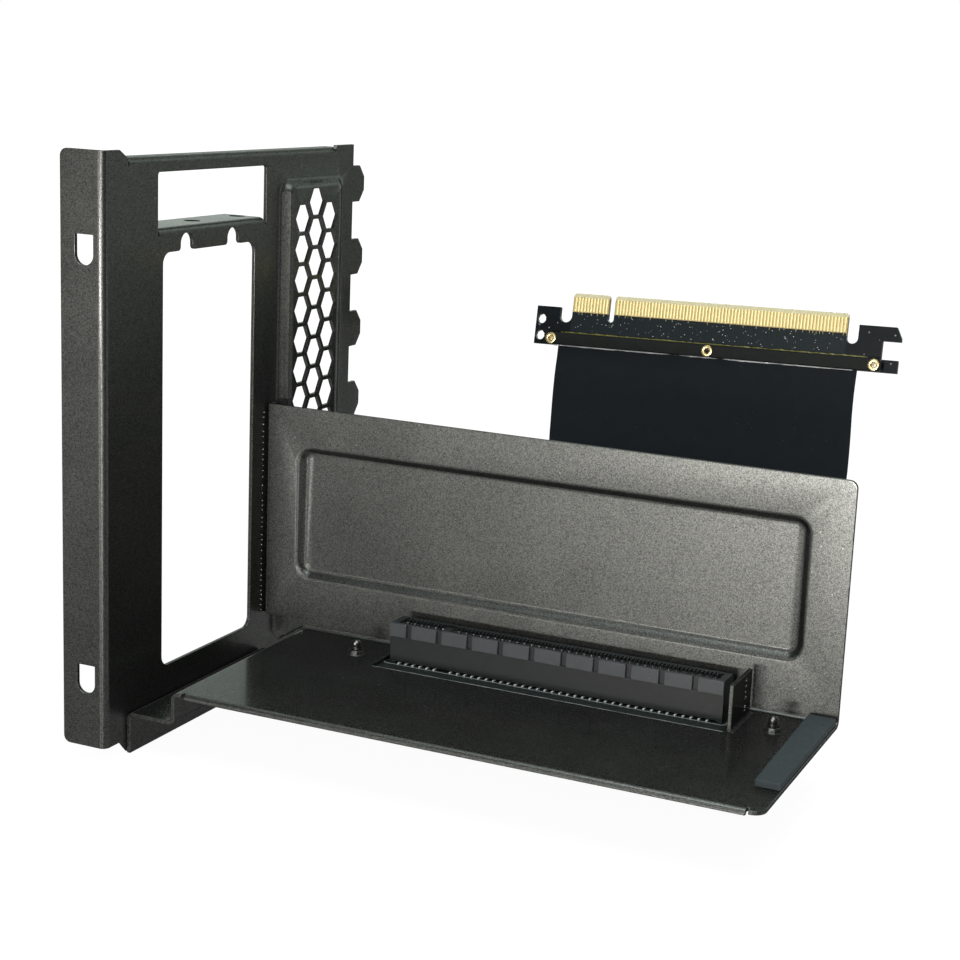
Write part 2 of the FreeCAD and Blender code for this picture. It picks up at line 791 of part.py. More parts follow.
def plug_board():
    body = Part.Face(plug_outline()).extrude(V(0, board, 0))
    for face, depth in ((0, tongue_bevel_depth), (board, -tongue_bevel_depth)):
        bevel = [(face, 0), (face + depth, 0), (face, -tongue_bevel)]
        body = body.cut(polygon(bevel, yz(0), V(tongue_length, 0, 0)))
    for step in range(2):
        place = V(-tail_length + tail_hole_inset, 0, -plug_depth + tail_hole_low + step * tail_holes_apart)
        body = body.cut(hole(tail_hole / 2, 0, place, rearward, 2 * board))
    for x in eyelet_places:
        place = V(x - clamp_before, 0, -plug_depth + clamp_height / 2)
        body = body.cut(hole(eyelet_barrel / 2, eyelet_clearance, place, rearward, 2 * board))
    return on_plug(body)


def edge_fingers():
    fingers = []
    half = finger_width / 2
    for x in contact_places(0):
        for face, crown in ((0, -finger_crown), (board, finger_crown)):
            section = [(x - half, face), (x + half, face), (x, face + crown)]
            fingers.append(polygon(section, xy(-tongue_bevel - finger_length), V(0, 0, finger_length)))
    return on_plug(Part.makeCompound(fingers))


def write_out(pieces):
    """Writes each piece with the origin midway between the flange slots, on the face behind the flange."""
    slots_middle = case_slot_first + case_slots_apart * slot_pitch / 2
    origin = V(-case_slot_inset, sheet, slots_middle)
    os.makedirs("parts", exist_ok=True)
    for name, piece in pieces.items():
        piece.translate(origin * -1)
        piece.exportStep(f"parts/{name}.step")
        print(name, len(piece.Solids), "solids", round(piece.Volume, 1), "mm3", piece.isValid())


write_out({
    "rear_bracket": rear_bracket(),
    "card_tray": card_tray(),
    "foam_strip": foam_strip(),
    "slot_housing": slot_housing(),
    "slot_contacts": slot_contacts(),
    "slot_board": slot_board(),
    "slot_screws": slot_screws(),
    "slot_clamp_bar": under_slot_board(clamp_bar()),
    "slot_eyelets": under_slot_board(eyelets()),
    "ribbon_cable": ribbon_cable(),
    "plug_board": plug_board(),
    "edge_fingers": edge_fingers(),
    "plug_clamp_bar": clamp_on_plug(clamp_bar()),
    "plug_eyelets": clamp_on_plug(eyelets()),
})
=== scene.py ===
import bpy
import bmesh
from math import cos, pi, radians, sin, tan
from mathutils import Matrix, Vector, noise


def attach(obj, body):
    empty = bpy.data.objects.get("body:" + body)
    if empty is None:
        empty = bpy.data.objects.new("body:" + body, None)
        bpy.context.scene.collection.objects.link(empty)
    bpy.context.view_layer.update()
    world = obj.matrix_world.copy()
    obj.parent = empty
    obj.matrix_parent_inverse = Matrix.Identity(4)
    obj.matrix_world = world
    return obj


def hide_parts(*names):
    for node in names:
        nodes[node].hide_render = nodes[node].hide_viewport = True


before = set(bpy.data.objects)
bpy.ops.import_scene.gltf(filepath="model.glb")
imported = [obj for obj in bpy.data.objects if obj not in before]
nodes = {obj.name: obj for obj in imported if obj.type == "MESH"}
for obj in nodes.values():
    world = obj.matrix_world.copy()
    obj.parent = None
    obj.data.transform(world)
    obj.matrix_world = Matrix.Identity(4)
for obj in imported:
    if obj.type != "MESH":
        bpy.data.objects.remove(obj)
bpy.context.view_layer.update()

scene = bpy.context.scene
scene.view_settings.view_transform = "Standard"
print("frame loaded:", len(nodes), "nodes")

# the part was drawn in mm from the bracket's lower inner corner; the frame starts at the flange slots
drawnFrom = Vector((5.5, -1.0, -70.9))


def place(x, y, z):
    return (Vector((x, y, z)) + drawnFrom) / 1000


def drawn(matrix):
    return Matrix.Scale(0.001, 4) @ Matrix.Translation(drawnFrom) @ matrix


plugFrame = drawn(Matrix.Translation((41.5, 179.0, 99.3))
                  @ Matrix.Rotation(radians(-12.8), 4, "X") @ Matrix.Rotation(radians(-1.35), 4, "Y"))
plugClampFrame = plugFrame @ Matrix.Translation((-7.4, -1.0, -14.35))
slotClampFrame = drawn(Matrix.Translation((34.1, 74.15, 13.9)) @ Matrix.Rotation(radians(90), 4, "X"))

# camera and light

cameraSet = {"place": (0.26101, -0.34936, 0.09825), "azimuth": 22.527, "elevation": 12.174, "roll": 2.799,
             "lens": 70.33, "shift": (-0.075, -0.01875)}

az, el, roll = (radians(cameraSet[k]) for k in ("azimuth", "elevation", "roll"))
forward = Vector((-sin(az) * cos(el), cos(az) * cos(el), -sin(el)))
right = Vector((cos(az), sin(az), 0))
up = right.cross(forward)
camRight = right * cos(roll) + up * sin(roll)
camUp = up * cos(roll) - right * sin(roll)
camData = bpy.data.cameras.new("photoCamera")
camData.lens = cameraSet["lens"]
camData.sensor_width = 36
camData.sensor_fit = "HORIZONTAL"
camData.shift_x, camData.shift_y = cameraSet["shift"]
camData.clip_start = 0.01
camera = bpy.data.objects.new("photoCamera", camData)
turn = Matrix((camRight, camUp, -forward)).transposed().to_4x4()
camera.matrix_world = Matrix.Translation(cameraSet["place"]) @ turn
scene.collection.objects.link(camera)
scene.camera = camera

lampSet = {
    "key": {"place": (0.08, -1.15, -0.095), "aim": (0.09, 0.06, 0.0), "size": (0.4, 0.1), "watts": 11,
            "colour": (1.0, 0.95, 0.91), "on": "both"},
    "sheen": {"place": (0.10, -1.15, -0.095), "aim": (0.12, 0.06, 0.0), "size": (0.3, 0.09), "watts": 9,
              "colour": (1.0, 0.95, 0.91), "on": "glossy"},
    "high": {"place": (0.10, -1.1, 0.28), "aim": (0.12, 0.06, 0.0), "size": (0.4, 0.15), "watts": 5,
             "colour": (1.0, 0.97, 0.94), "on": "glossy"},
    "fill": {"place": (0.7, -1.2, 0.7), "aim": (0.05, 0.05, 0.0), "size": (1.0, 1.0), "watts": 6.0,
             "colour": (1.0, 1.0, 1.0), "on": "diffuse"},
    "top": {"place": (0.15, -0.2, 1.3), "aim": (0.08, 0.06, 0.0), "size": (1.0, 1.0), "watts": 12.0,
            "colour": (0.95, 1.0, 1.0), "on": "both"},
}
for name, s in lampSet.items():
    lamp = bpy.data.lights.new(name, "AREA")
    lamp.shape = "RECTANGLE"
    lamp.size, lamp.size_y = s["size"]
    lamp.energy = s["watts"]
    lamp.color = s["colour"]
    lampObj = bpy.data.objects.new(name, lamp)
    lampObj.location = s["place"]
    lampObj.visible_glossy = s["on"] != "diffuse"  # the soft lamps leave no sheen on the coat
    lampObj.visible_diffuse = s["on"] != "glossy"
    lampObj.rotation_euler = (Vector(s["aim"]) - Vector(s["place"])).to_track_quat("-Z", "Y").to_euler()
    scene.collection.objects.link(lampObj)
print("camera and", len(lampSet), "lamps")


# node helpers

def addNode(tree, kind, settings=None, **values):
    node = tree.nodes.new(kind)
    for key, value in (settings or {}).items():
        setattr(node, key, value)
    for key, value in values.items():
        wire(tree, value, node.inputs[key.replace("_", " ")])
    return node


def wire(tree, value, socket):
    if isinstance(value, bpy.types.NodeSocket):
        tree.links.new(value, socket)
    else:
        socket.default_value = value


def calc(tree, operation, a, b=0.0):
    node = tree.nodes.new("ShaderNodeMath")
    node.operation = operation
    wire(tree, a, node.inputs[0])
    wire(tree, b, node.inputs[1])
    return node.outputs[0]


def times(tree, a, b):
    return calc(tree, "MULTIPLY", a, b)


def span(tree, value, low, high, toLow=0.0, toHigh=1.0, smooth=False):
    node = tree.nodes.new("ShaderNodeMapRange")
    node.interpolation_type = "SMOOTHSTEP" if smooth else "LINEAR"
    sockets = ("Value", "From Min", "From Max", "To Min", "To Max")
    for socket, v in zip(sockets, (value, low, high, toLow, toHigh)):
        wire(tree, v, node.inputs[socket])
    return node.outputs[0]


def blendColour(tree, factor, a, b):
    node = tree.nodes.new("ShaderNodeMix")
    node.data_type = "RGBA"
    wire(tree, factor, node.inputs[0])
    wire(tree, a, node.inputs[6])
    wire(tree, b, node.inputs[7])
    return node.outputs[2]


def blendValue(tree, factor, a, b):
    node = tree.nodes.new("ShaderNodeMix")
    wire(tree, factor, node.inputs[0])
    wire(tree, a, node.inputs[2])
    wire(tree, b, node.inputs[3])
    return node.outputs[0]


def grey(value):
    return (value, value, value, 1)


def newMaterial(name):
    mat = bpy.data.materials.new(name)
    mat.use_nodes = True
    tree = mat.node_tree
    tree.nodes.clear()
    out = tree.nodes.new("ShaderNodeOutputMaterial")
    shader = tree.nodes.new("ShaderNodeBsdfPrincipled")
    tree.links.new(shader.outputs[0], out.inputs[0])
    coords = tree.nodes.new("ShaderNodeTexCoord").outputs["Object"]
    return mat, tree, shader, coords


def bump(tree, shader, height, strength, distance):
    node = addNode(tree, "ShaderNodeBump", Height=height, Strength=strength, Distance=distance)
    tree.links.new(node.outputs[0], shader.inputs["Normal"])


def mixShaders(tree, factor, a, b):
    node = tree.nodes.new("ShaderNodeMixShader")
    for source, socket in zip((factor, a.outputs[0], b.outputs[0]), node.inputs):
        tree.links.new(source, socket)
    return node.outputs[0]


def useGroup(tree, group, **values):
    node = tree.nodes.new("ShaderNodeGroup")
    node.node_tree = group
    for key, value in values.items():
        wire(tree, value, node.inputs[key])
    return node.outputs


# world and floor

worldSet = {"ambient": 0.15, "room": 0.04, "tint": (0.89, 1.0, 0.91, 1), "behind": (0.0, 0.45),
            "sweepTop": (0.3, 0.7), "above": 0.3, "acrossOver": (0.3, 0.59), "across": (2.4, 0.25)}
floorSet = {"size": 6.0, "front": -0.7, "level": -0.0709, "colour": 0.92, "shown": 0.89, "paper": 1.08,
            "white": (0.25, 0.55), "room": 0.12, "back": (-0.1, 0.35), "side": (0.1, 0.5), "sideDim": 0.6}


def seenRays(tree):
    path = tree.nodes.new("ShaderNodeLightPath").outputs
    shiny = calc(tree, "MAXIMUM", path["Is Glossy Ray"], path["Is Transmission Ray"])
    return path["Is Camera Ray"], calc(tree, "MAXIMUM", path["Is Camera Ray"], shiny)


world = bpy.data.worlds.new("studio")
scene.world = world
world.use_nodes = True
tree = world.node_tree
tree.nodes.clear()
cameraRay, seen = seenRays(tree)
looking = tree.nodes.new("ShaderNodeTexCoord").outputs["Generated"]
heading = addNode(tree, "ShaderNodeSeparateXYZ", Vector=looking)
behind = span(tree, heading.outputs["Y"], *worldSet["behind"], smooth=True)
sweep = span(tree, heading.outputs["Z"], *worldSet["sweepTop"], 1.0, worldSet["above"], smooth=True)
across = span(tree, heading.outputs["X"], *worldSet["acrossOver"], *worldSet["across"], smooth=True)
wall = times(tree, times(tree, behind, sweep), across)
wall = calc(tree, "MAXIMUM", wall, worldSet["room"])
wall = blendValue(tree, cameraRay, wall, 1.0)  # the camera itself always sees a white studio
dim = addNode(tree, "ShaderNodeBackground", Color=(1, 1, 1, 1), Strength=worldSet["ambient"])
wallColour = blendColour(tree, cameraRay, worldSet["tint"], grey(1.0))
bright = addNode(tree, "ShaderNodeBackground", Color=wallColour, Strength=wall)
out = tree.nodes.new("ShaderNodeOutputWorld")
tree.links.new(mixShaders(tree, seen, dim, bright), out.inputs[0])

half, front = floorSet["size"] / 2, floorSet["front"]
floorCorners = ((-half, front), (half, front), (half, half), (-half, half))
floorMesh = bpy.data.meshes.new("floor")
floorMesh.from_pydata([(x, y, floorSet["level"]) for x, y in floorCorners], [], [(0, 1, 2, 3)])
floor = bpy.data.objects.new("floor", floorMesh)
scene.collection.objects.link(floor)
floorMat = bpy.data.materials.new("paleFloor")
floorMat.use_nodes = True
tree = floorMat.node_tree
tree.nodes.clear()
cameraRay, seen = seenRays(tree)
spot = tree.nodes.new("ShaderNodeTexCoord").outputs["Object"]
spotAxes = addNode(tree, "ShaderNodeSeparateXYZ", Vector=spot).outputs
away = addNode(tree, "ShaderNodeVectorMath", {"operation": "LENGTH"})
tree.links.new(spot, away.inputs[0])
shown = span(tree, away.outputs["Value"], *floorSet["white"], floorSet["shown"], 1.0, smooth=True)
lit = times(tree, span(tree, spotAxes["Y"], *floorSet["back"], floorSet["room"], 1.0, smooth=True),
            span(tree, spotAxes["X"], *floorSet["side"], 1.0, 1.0 - floorSet["sideDim"], smooth=True))
paper = addNode(tree, "ShaderNodeBsdfDiffuse", Color=grey(floorSet["colour"]))
glow = addNode(tree, "ShaderNodeEmission", Color=(1, 1, 1, 1),
               Strength=blendValue(tree, cameraRay, lit, floorSet["paper"]))
out = tree.nodes.new("ShaderNodeOutputMaterial")
tree.links.new(mixShaders(tree, times(tree, seen, shown), paper, glow), out.inputs[0])
floorMesh.materials.append(floorMat)
print("world and floor")


# shared shader groups

def newGroup(name, inputs, outputs):
    group = bpy.data.node_groups.new(name, "ShaderNodeTree")
    for label, kind, value in inputs:
        socket = group.interface.new_socket(label, in_out="INPUT", socket_type="NodeSocket" + kind)
        if value is not None:
            socket.default_value = value
    for label, kind in outputs:
        group.interface.new_socket(label, in_out="OUTPUT", socket_type="NodeSocket" + kind)
    return group, group.nodes.new("NodeGroupInput").outputs, group.nodes.new("NodeGroupOutput").inputs


# grain: soft lumps, and flecks that each have their own brightness
grainGroup, given, result = newGroup(
    "surfaceGrain",
    [("Vector", "Vector", None), ("Lump Scale", "Float", 900.0), ("Fleck Scale", "Float", 2400.0)],
    [("Lumps", "Float"), ("Flecks", "Float")])
lumps = addNode(grainGroup, "ShaderNodeTexNoise", Vector=given["Vector"], Scale=given["Lump Scale"],
                Detail=2.0)
flecks = addNode(grainGroup, "ShaderNodeTexVoronoi", Vector=given["Vector"], Scale=given["Fleck Scale"])
fleckValue = addNode(grainGroup, "ShaderNodeSeparateColor", Color=flecks.outputs["Color"])
grainGroup.links.new(lumps.outputs[0], result["Lumps"])
grainGroup.links.new(fleckValue.outputs[0], result["Flecks"])

# dust: a few pale specks and a soft film
dustSet = {"rareFrom": 0.8, "film": 60.0}
dustGroup, given, result = newGroup(
    "dustFilm",
    [("Vector", "Vector", None), ("Speck Scale", "Float", 700.0), ("Speck Size", "Float", 0.08)],
    [("Specks", "Float"), ("Film", "Float")])
speck = addNode(dustGroup, "ShaderNodeTexVoronoi", Vector=given["Vector"], Scale=given["Speck Scale"])
chosen = addNode(dustGroup, "ShaderNodeSeparateColor", Color=speck.outputs["Color"])
near = calc(dustGroup, "LESS_THAN", speck.outputs["Distance"], given["Speck Size"])
rare = calc(dustGroup, "GREATER_THAN", chosen.outputs[1], dustSet["rareFrom"])
film = addNode(dustGroup, "ShaderNodeTexNoise", Vector=given["Vector"], Scale=dustSet["film"], Detail=4.0)
dustGroup.links.new(times(dustGroup, near, rare), result["Specks"])
dustGroup.links.new(film.outputs[0], result["Film"])


def grainOn(tree, coords, lump, fleck):
    return useGroup(tree, grainGroup, **{"Vector": coords, "Lump Scale": lump, "Fleck Scale": fleck})


def dustOn(tree, coords, scale, size):
    return useGroup(tree, dustGroup, **{"Vector": coords, "Speck Scale": scale, "Speck Size": size})


print("shader groups")


# materials

powderSet = {"dark": (0.030, 0.031, 0.030, 1), "light": (0.206, 0.214, 0.204, 1), "metal": 0.95,
             "edgeTint": 0.0, "specular": 0.2, "rough": (0.35, 0.40), "coat": 0.19, "coatRough": 0.13,
             "lump": 3200.0, "fleck": 5200.0, "fleckShare": 0.7, "grain": 0.05, "grainDepth": 0.00012,
             "speckScale": 260.0, "speckSize": 0.05, "speckShow": 0.5, "speckTone": 0.5, "film": (0.3, 0.7),
             "bentRough": 0.38, "bentFrom": (0.97, 0.995), "bentTo": (0.86, 0.92),
             "dusty": (0.060, 0.066, 0.7)}
powderCoat, tree, shader, coords = newMaterial("charcoalPowderCoat")
s = powderSet
grain = grainOn(tree, coords, s["lump"], s["fleck"])
dust = dustOn(tree, coords, s["speckScale"], s["speckSize"])
tone = calc(tree, "ADD", times(tree, grain["Flecks"], s["fleckShare"]),
            times(tree, grain["Lumps"], 1 - s["fleckShare"]))
colour = blendColour(tree, tone, s["dark"], s["light"])
specks = times(tree, dust["Specks"], s["speckShow"])
wire(tree, blendColour(tree, specks, colour, grey(s["speckTone"])), shader.inputs["Base Color"])
facing = addNode(tree, "ShaderNodeVectorMath", {"operation": "ABSOLUTE"})
tree.links.new(tree.nodes.new("ShaderNodeNewGeometry").outputs["Normal"], facing.inputs[0])
facing = addNode(tree, "ShaderNodeSeparateXYZ", Vector=facing.outputs[0]).outputs
squareOn = calc(tree, "MAXIMUM", calc(tree, "MAXIMUM", facing["X"], facing["Y"]), facing["Z"])
# the coat is rougher where a fold begins to turn
bent = times(tree, span(tree, squareOn, *s["bentTo"], 0.0, s["bentRough"]),
             span(tree, squareOn, *s["bentFrom"], 1.0, 0.0))
dull = span(tree, dust["Film"], *s["film"], *s["rough"])
wire(tree, calc(tree, "ADD", dull, bent), shader.inputs["Roughness"])
shader.inputs["Metallic"].default_value = s["metal"]
shader.inputs["Specular Tint"].default_value = grey(s["edgeTint"])
shader.inputs["Specular IOR Level"].default_value = s["specular"]
lowest, highest, dulled = s["dusty"]  # a dull film on what faces up near the top
height = addNode(tree, "ShaderNodeSeparateXYZ", Vector=coords).outputs["Z"]
film = times(tree, span(tree, height, lowest, highest, 0.0, dulled), facing["Z"])
wire(tree, span(tree, film, 0.0, 1.0, s["coat"], 0.0), shader.inputs["Coat Weight"])
shader.inputs["Coat Roughness"].default_value = s["coatRough"]
bump(tree, shader, tone, s["grain"], s["grainDepth"])

# plain finishes: lumps in colour, flecks in gloss, dust where it shows
speckleSet = {"scale": 420.0, "size": 0.06, "tone": 0.6, "fleckRelief": 0.4}


def plainFinish(name, dark, light, rough, lump, fleck, relief, depth, speckled=0.0, **sockets):
    mat, tree, shader, coords = newMaterial(name)
    grain = grainOn(tree, coords, lump, fleck)
    colour = blendColour(tree, grain["Lumps"], dark, light)
    if speckled:
        dust = dustOn(tree, coords, speckleSet["scale"], speckleSet["size"])
        specks = times(tree, dust["Specks"], speckled)
        colour = blendColour(tree, specks, colour, grey(speckleSet["tone"]))
    wire(tree, colour, shader.inputs["Base Color"])
    wire(tree, span(tree, grain["Flecks"], 0, 1, *rough), shader.inputs["Roughness"])
    for key, value in sockets.items():
        shader.inputs[key.replace("_", " ")].default_value = value
    flecks = times(tree, grain["Flecks"], speckleSet["fleckRelief"])
    bump(tree, shader, calc(tree, "ADD", grain["Lumps"], flecks), relief, depth)
    return mat


slotPlastic = plainFinish(
    "slotPlastic", dark=(0.011, 0.0145, 0.015, 1), light=(0.020, 0.0255, 0.026, 1), rough=(0.38, 0.5),
    lump=500.0, fleck=5200.0, relief=0.12, depth=0.00004, speckled=0.25, Specular_IOR_Level=0.45)
# the pads are the housing's plastic painted lighter: painted light on the pads
padPlasticPaintedLight = plainFinish(
    "slotPads", dark=(0.050, 0.057, 0.063, 1), light=(0.070, 0.078, 0.085, 1), rough=(0.42, 0.52),
    lump=380.0, fleck=5200.0, relief=0.06, depth=0.00004, speckled=0.15, Specular_IOR_Level=0.4)
foamSkin = plainFinish(
    "blueGreyFoam", dark=(0.038, 0.048, 0.052, 1), light=(0.066, 0.082, 0.088, 1), rough=(0.75, 0.95),
    lump=900.0, fleck=3600.0, relief=0.5, depth=0.0001, Specular_IOR_Level=0.25)
ribbonSkin = plainFinish(
    "ribbonSheath", dark=(0.0148, 0.0195, 0.0235, 1), light=(0.0185, 0.0248, 0.0295, 1), rough=(0.65, 0.8),
    lump=220.0, fleck=2600.0, relief=0.08, depth=0.00006, speckled=0.08, Specular_IOR_Level=0.1)
clampPlastic = plainFinish(
    "clampBar", dark=(0.004, 0.0058, 0.0052, 1), light=(0.008, 0.0115, 0.0105, 1), rough=(0.45, 0.6),
    lump=420.0, fleck=3200.0, relief=0.1, depth=0.00004, speckled=0.2, Specular_IOR_Level=0.1)
slotBoardMask = plainFinish(
    "slotBoardMask", dark=(0.010, 0.015, 0.014, 1), light=(0.020, 0.027, 0.026, 1), rough=(0.28, 0.4),
    lump=700.0, fleck=2800.0, relief=0.1, depth=0.00003, speckled=0.3, Specular_IOR_Level=0.4)
tinPlate = plainFinish(
    "tinnedContact", dark=(0.60, 0.59, 0.56, 1), light=(0.82, 0.81, 0.78, 1), rough=(0.22, 0.4),
    lump=1800.0, fleck=5200.0, relief=0.15, depth=0.00004, Metallic=1.0)
# the tails are tin like the blades, painted near white: a painted highlight for their glints
tailTinPaintedGlint = plainFinish(
    "contactTails", dark=(0.84, 0.86, 0.86, 1), light=(0.97, 0.98, 0.97, 1), rough=(0.25, 0.4),
    lump=1800.0, fleck=5200.0, relief=0.15, depth=0.00004, Metallic=0.1)
eyeletBrass = plainFinish(
    "eyeletBrass", dark=(0.60, 0.48, 0.22, 1), light=(0.80, 0.67, 0.36, 1), rough=(0.25, 0.4),
    lump=1300.0, fleck=4200.0, relief=0.12, depth=0.00004, Metallic=0.8)
screwSteel = plainFinish(
    "blackScrewSteel", dark=(0.08, 0.082, 0.082, 1), light=(0.19, 0.19, 0.186, 1), rough=(0.25, 0.4),
    lump=1200.0, fleck=4200.0, relief=0.15, depth=0.00004, Metallic=1.0)
solder = plainFinish(
    "solderGlint", dark=(0.80, 0.82, 0.82, 1), light=(0.96, 0.97, 0.96, 1), rough=(0.2, 0.38),
    lump=1500.0, fleck=4200.0, relief=0.1, depth=0.00003, Metallic=0.2)
# grey ink for the printed line; the same grey paints highlights on the cut edge, the seam and the end tab
printInkAndPaintedGlints = plainFinish(
    "printedLine", dark=(0.30, 0.33, 0.32, 1), light=(0.46, 0.48, 0.47, 1), rough=(0.5, 0.7),
    lump=1800.0, fleck=4200.0, relief=0.1, depth=0.00002)
glueClear = plainFinish(
    "glueBead", dark=(0.70, 0.74, 0.74, 1), light=(0.95, 0.96, 0.96, 1), rough=(0.12, 0.3),
    lump=500.0, fleck=2600.0, relief=0.2, depth=0.00006, Coat_Weight=0.6)
fluxAmber = plainFinish(
    "amberFlux", dark=(0.14, 0.13, 0.016, 1), light=(0.27, 0.25, 0.045, 1), rough=(0.2, 0.4),
    lump=900.0, fleck=2600.0, relief=0.2, depth=0.00006, Coat_Weight=0.4)
fingerGold = plainFinish(
    "fingerGilt", dark=(0.70, 0.58, 0.26, 1), light=(0.75, 0.63, 0.31, 1), rough=(0.42, 0.48),
    lump=900.0, fleck=3600.0, relief=0.03, depth=0.00003, Metallic=0.3)

# the plug's board: bare laminate at the tongue, a cream bevel at its very edge, dark mask with traces below
plugSet = {"tongue": (-0.02, 85.22), "bareFrom": -5.75, "bevelFrom": -1.2, "stubFrom": -6.5,
           "traceFrom": -12.3, "phase": 0.325, "traceHalf": 0.32, "stubHalf": 0.07, "stubChance": 0.6,
           "tongueShow": 0.35, "traceShow": 0.16, "traceRise": 0.6, "speckShow": 0.35, "speckTone": 0.55,
           "rough": (0.34, 0.6), "specular": 0.08, "relief": 0.15, "depth": 0.00004, "lump": 700.0,
           "fleck": 2600.0, "speckScale": 620.0, "speckSize": 0.16,
           "mask": ((0.003, 0.0048, 0.0062, 1), (0.0075, 0.0115, 0.014, 1)),
           "overCopper": (0.022, 0.032, 0.036, 1), "stub": (0.42, 0.36, 0.18, 1),
           "laminate": ((0.38, 0.29, 0.12, 1), (0.54, 0.43, 0.21, 1)),
           "cream": ((0.50, 0.46, 0.27, 1), (0.68, 0.64, 0.43, 1))}
plugMask, tree, shader, coords = newMaterial("plugBoardMask")
s = plugSet
local = plugFrame.inverted()
turned = addNode(tree, "ShaderNodeMapping", {"vector_type": "POINT"}, Vector=coords,
                 Location=local.to_translation(), Rotation=local.to_euler(), Scale=local.to_scale())
axes = addNode(tree, "ShaderNodeSeparateXYZ", Vector=turned.outputs[0]).outputs
grain = grainOn(tree, coords, s["lump"], s["fleck"])
dust = dustOn(tree, coords, s["speckScale"], s["speckSize"])
onTongue = times(tree, calc(tree, "GREATER_THAN", axes["X"], s["tongue"][0]),
                 calc(tree, "LESS_THAN", axes["X"], s["tongue"][1]))


def above(level, where):
    return times(tree, where, calc(tree, "GREATER_THAN", axes["Z"], level))


bare = above(s["bareFrom"], onTongue)
bevelled = above(s["bevelFrom"], onTongue)
along = calc(tree, "ADD", axes["X"], s["phase"])  # one step for each finger
offMiddle = calc(tree, "ABSOLUTE", calc(tree, "SUBTRACT", calc(tree, "FRACT", along), 0.5))
trace = above(s["traceFrom"], calc(tree, "LESS_THAN", offMiddle, s["traceHalf"]))
trace = times(tree, trace, onTongue)
mask = blendColour(tree, grain["Lumps"], *s["mask"])
mask = blendColour(tree, times(tree, onTongue, s["tongueShow"]), mask, s["overCopper"])
mask = blendColour(tree, times(tree, trace, s["traceShow"]), mask, s["overCopper"])
# below some fingers a short gilt stub shows
finger = calc(tree, "FLOOR", along)
chance = addNode(tree, "ShaderNodeTexWhiteNoise", {"noise_dimensions": "1D"}, W=finger).outputs["Value"]
stub = times(tree, calc(tree, "LESS_THAN", offMiddle, s["stubHalf"]),
             calc(tree, "GREATER_THAN", chance, s["stubChance"]))
stub = above(s["stubFrom"], stub)
mask = blendColour(tree, times(tree, stub, onTongue), mask, s["stub"])
specks = times(tree, dust["Specks"], s["speckShow"])
mask = blendColour(tree, specks, mask, grey(s["speckTone"]))
laminate = blendColour(tree, grain["Flecks"], *s["laminate"])
cream = blendColour(tree, grain["Lumps"], *s["cream"])
colour = blendColour(tree, bevelled, blendColour(tree, bare, mask, laminate), cream)
wire(tree, colour, shader.inputs["Base Color"])
wire(tree, span(tree, bare, 0, 1, *s["rough"]), shader.inputs["Roughness"])
shader.inputs["Specular IOR Level"].default_value = s["specular"]
raised = calc(tree, "ADD", times(tree, trace, s["traceRise"]), grain["Lumps"])
bump(tree, shader, raised, s["relief"], s["depth"])
print("materials:", len(bpy.data.materials))


# piece helpers

def newPiece(name, mesh, material):
    piece = bpy.data.objects.new(name, mesh)
    scene.collection.objects.link(piece)
    mesh.materials.clear()
    mesh.materials.append(material)
    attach(piece, "root")
    return piece


def meshFrom(bm, name):
    mesh = bpy.data.meshes.new(name)
    bm.to_mesh(mesh)
    bm.free()
    return mesh


def smoothByAngle(mesh, degrees):
    mesh.shade_smooth()
    mesh.set_sharp_from_angle(angle=radians(degrees))


def evaluatedMesh(obj):
    bpy.context.view_layer.update()
    graph = bpy.context.evaluated_depsgraph_get()
    return bpy.data.meshes.new_from_object(obj.evaluated_get(graph))


easeSet = {"smooth": 30, "sharpFrom": 32, "merge": 2e-6}


# rounds a mesh's edges a little, with flat faces that stay flat
def eased(mesh, ease, segments, limit="ANGLE"):
    temp = bpy.data.objects.new(mesh.name, mesh)
    scene.collection.objects.link(temp)
    smoothByAngle(mesh, easeSet["smooth"])
    bevel = temp.modifiers.new("ease", "BEVEL")
    bevel.width = ease / 1000
    bevel.segments = segments
    bevel.limit_method = limit
    bevel.loop_slide = False
    bevel.use_clamp_overlap = False
    bevel.miter_outer = "MITER_ARC"
    even = temp.modifiers.new("even", "WEIGHTED_NORMAL")
    even.keep_sharp = True
    even.weight = 100
    done = evaluatedMesh(temp)
    bpy.data.objects.remove(temp)
    return done


# a copy of a CAD node whose sharp edges are eased, as a coat of paint or a press eases them
def easedCopy(nodeName, pieceName, material, slotName, ease, segments=2, leave=None):
    bm = bmesh.new()
    bm.from_mesh(nodes[nodeName].data)
    bmesh.ops.remove_doubles(bm, verts=bm.verts, dist=easeSet["merge"])
    weight = bm.edges.layers.float.new("bevel_weight_edge")
    for edge in bm.edges:
        kept = leave and all(leave(v.co) for v in edge.verts)
        sharp = len(edge.link_faces) == 2 and edge.calc_face_angle(0) > radians(easeSet["sharpFrom"])
        edge[weight] = 1.0 if sharp and not kept else 0.0
    mesh = eased(meshFrom(bm, pieceName), ease, segments, "WEIGHT")
    piece = newPiece(pieceName, mesh, material)
    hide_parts(nodeName)
    return piece


def boxes(bm, limits):
    for low, high in limits:
        a, b = place(*low), place(*high)
        matrix = Matrix.Translation((a + b) / 2) @ Matrix.Diagonal((*(b - a), 1))
        bmesh.ops.create_cube(bm, size=1, matrix=matrix)


# folded sheets

sheetSet = {"ease": 0.16, "segments": 3}
plainSet = {"vent": ((1.5, 77.0, 11.0), (3.5, 102.0, 134.0)),
            "rimEnd": ((-2.0, 103.6, 139.0), (1.5, 104.8, 144.0))}
plainBoxes = [(place(*low), place(*high)) for low, high in plainSet.values()]


def staysSharp(co):
    return any(all(a < c < b for a, c, b in zip(low, co, high)) for low, high in plainBoxes)


for nodeName, pieceName in (("rear_bracket", "bracketSheet"), ("card_tray", "traySheet")):
    easedCopy(nodeName, pieceName, powderCoat, "powder_coat", leave=staysSharp, **sheetSet)
print("folded sheets")

# boards and clamp bars

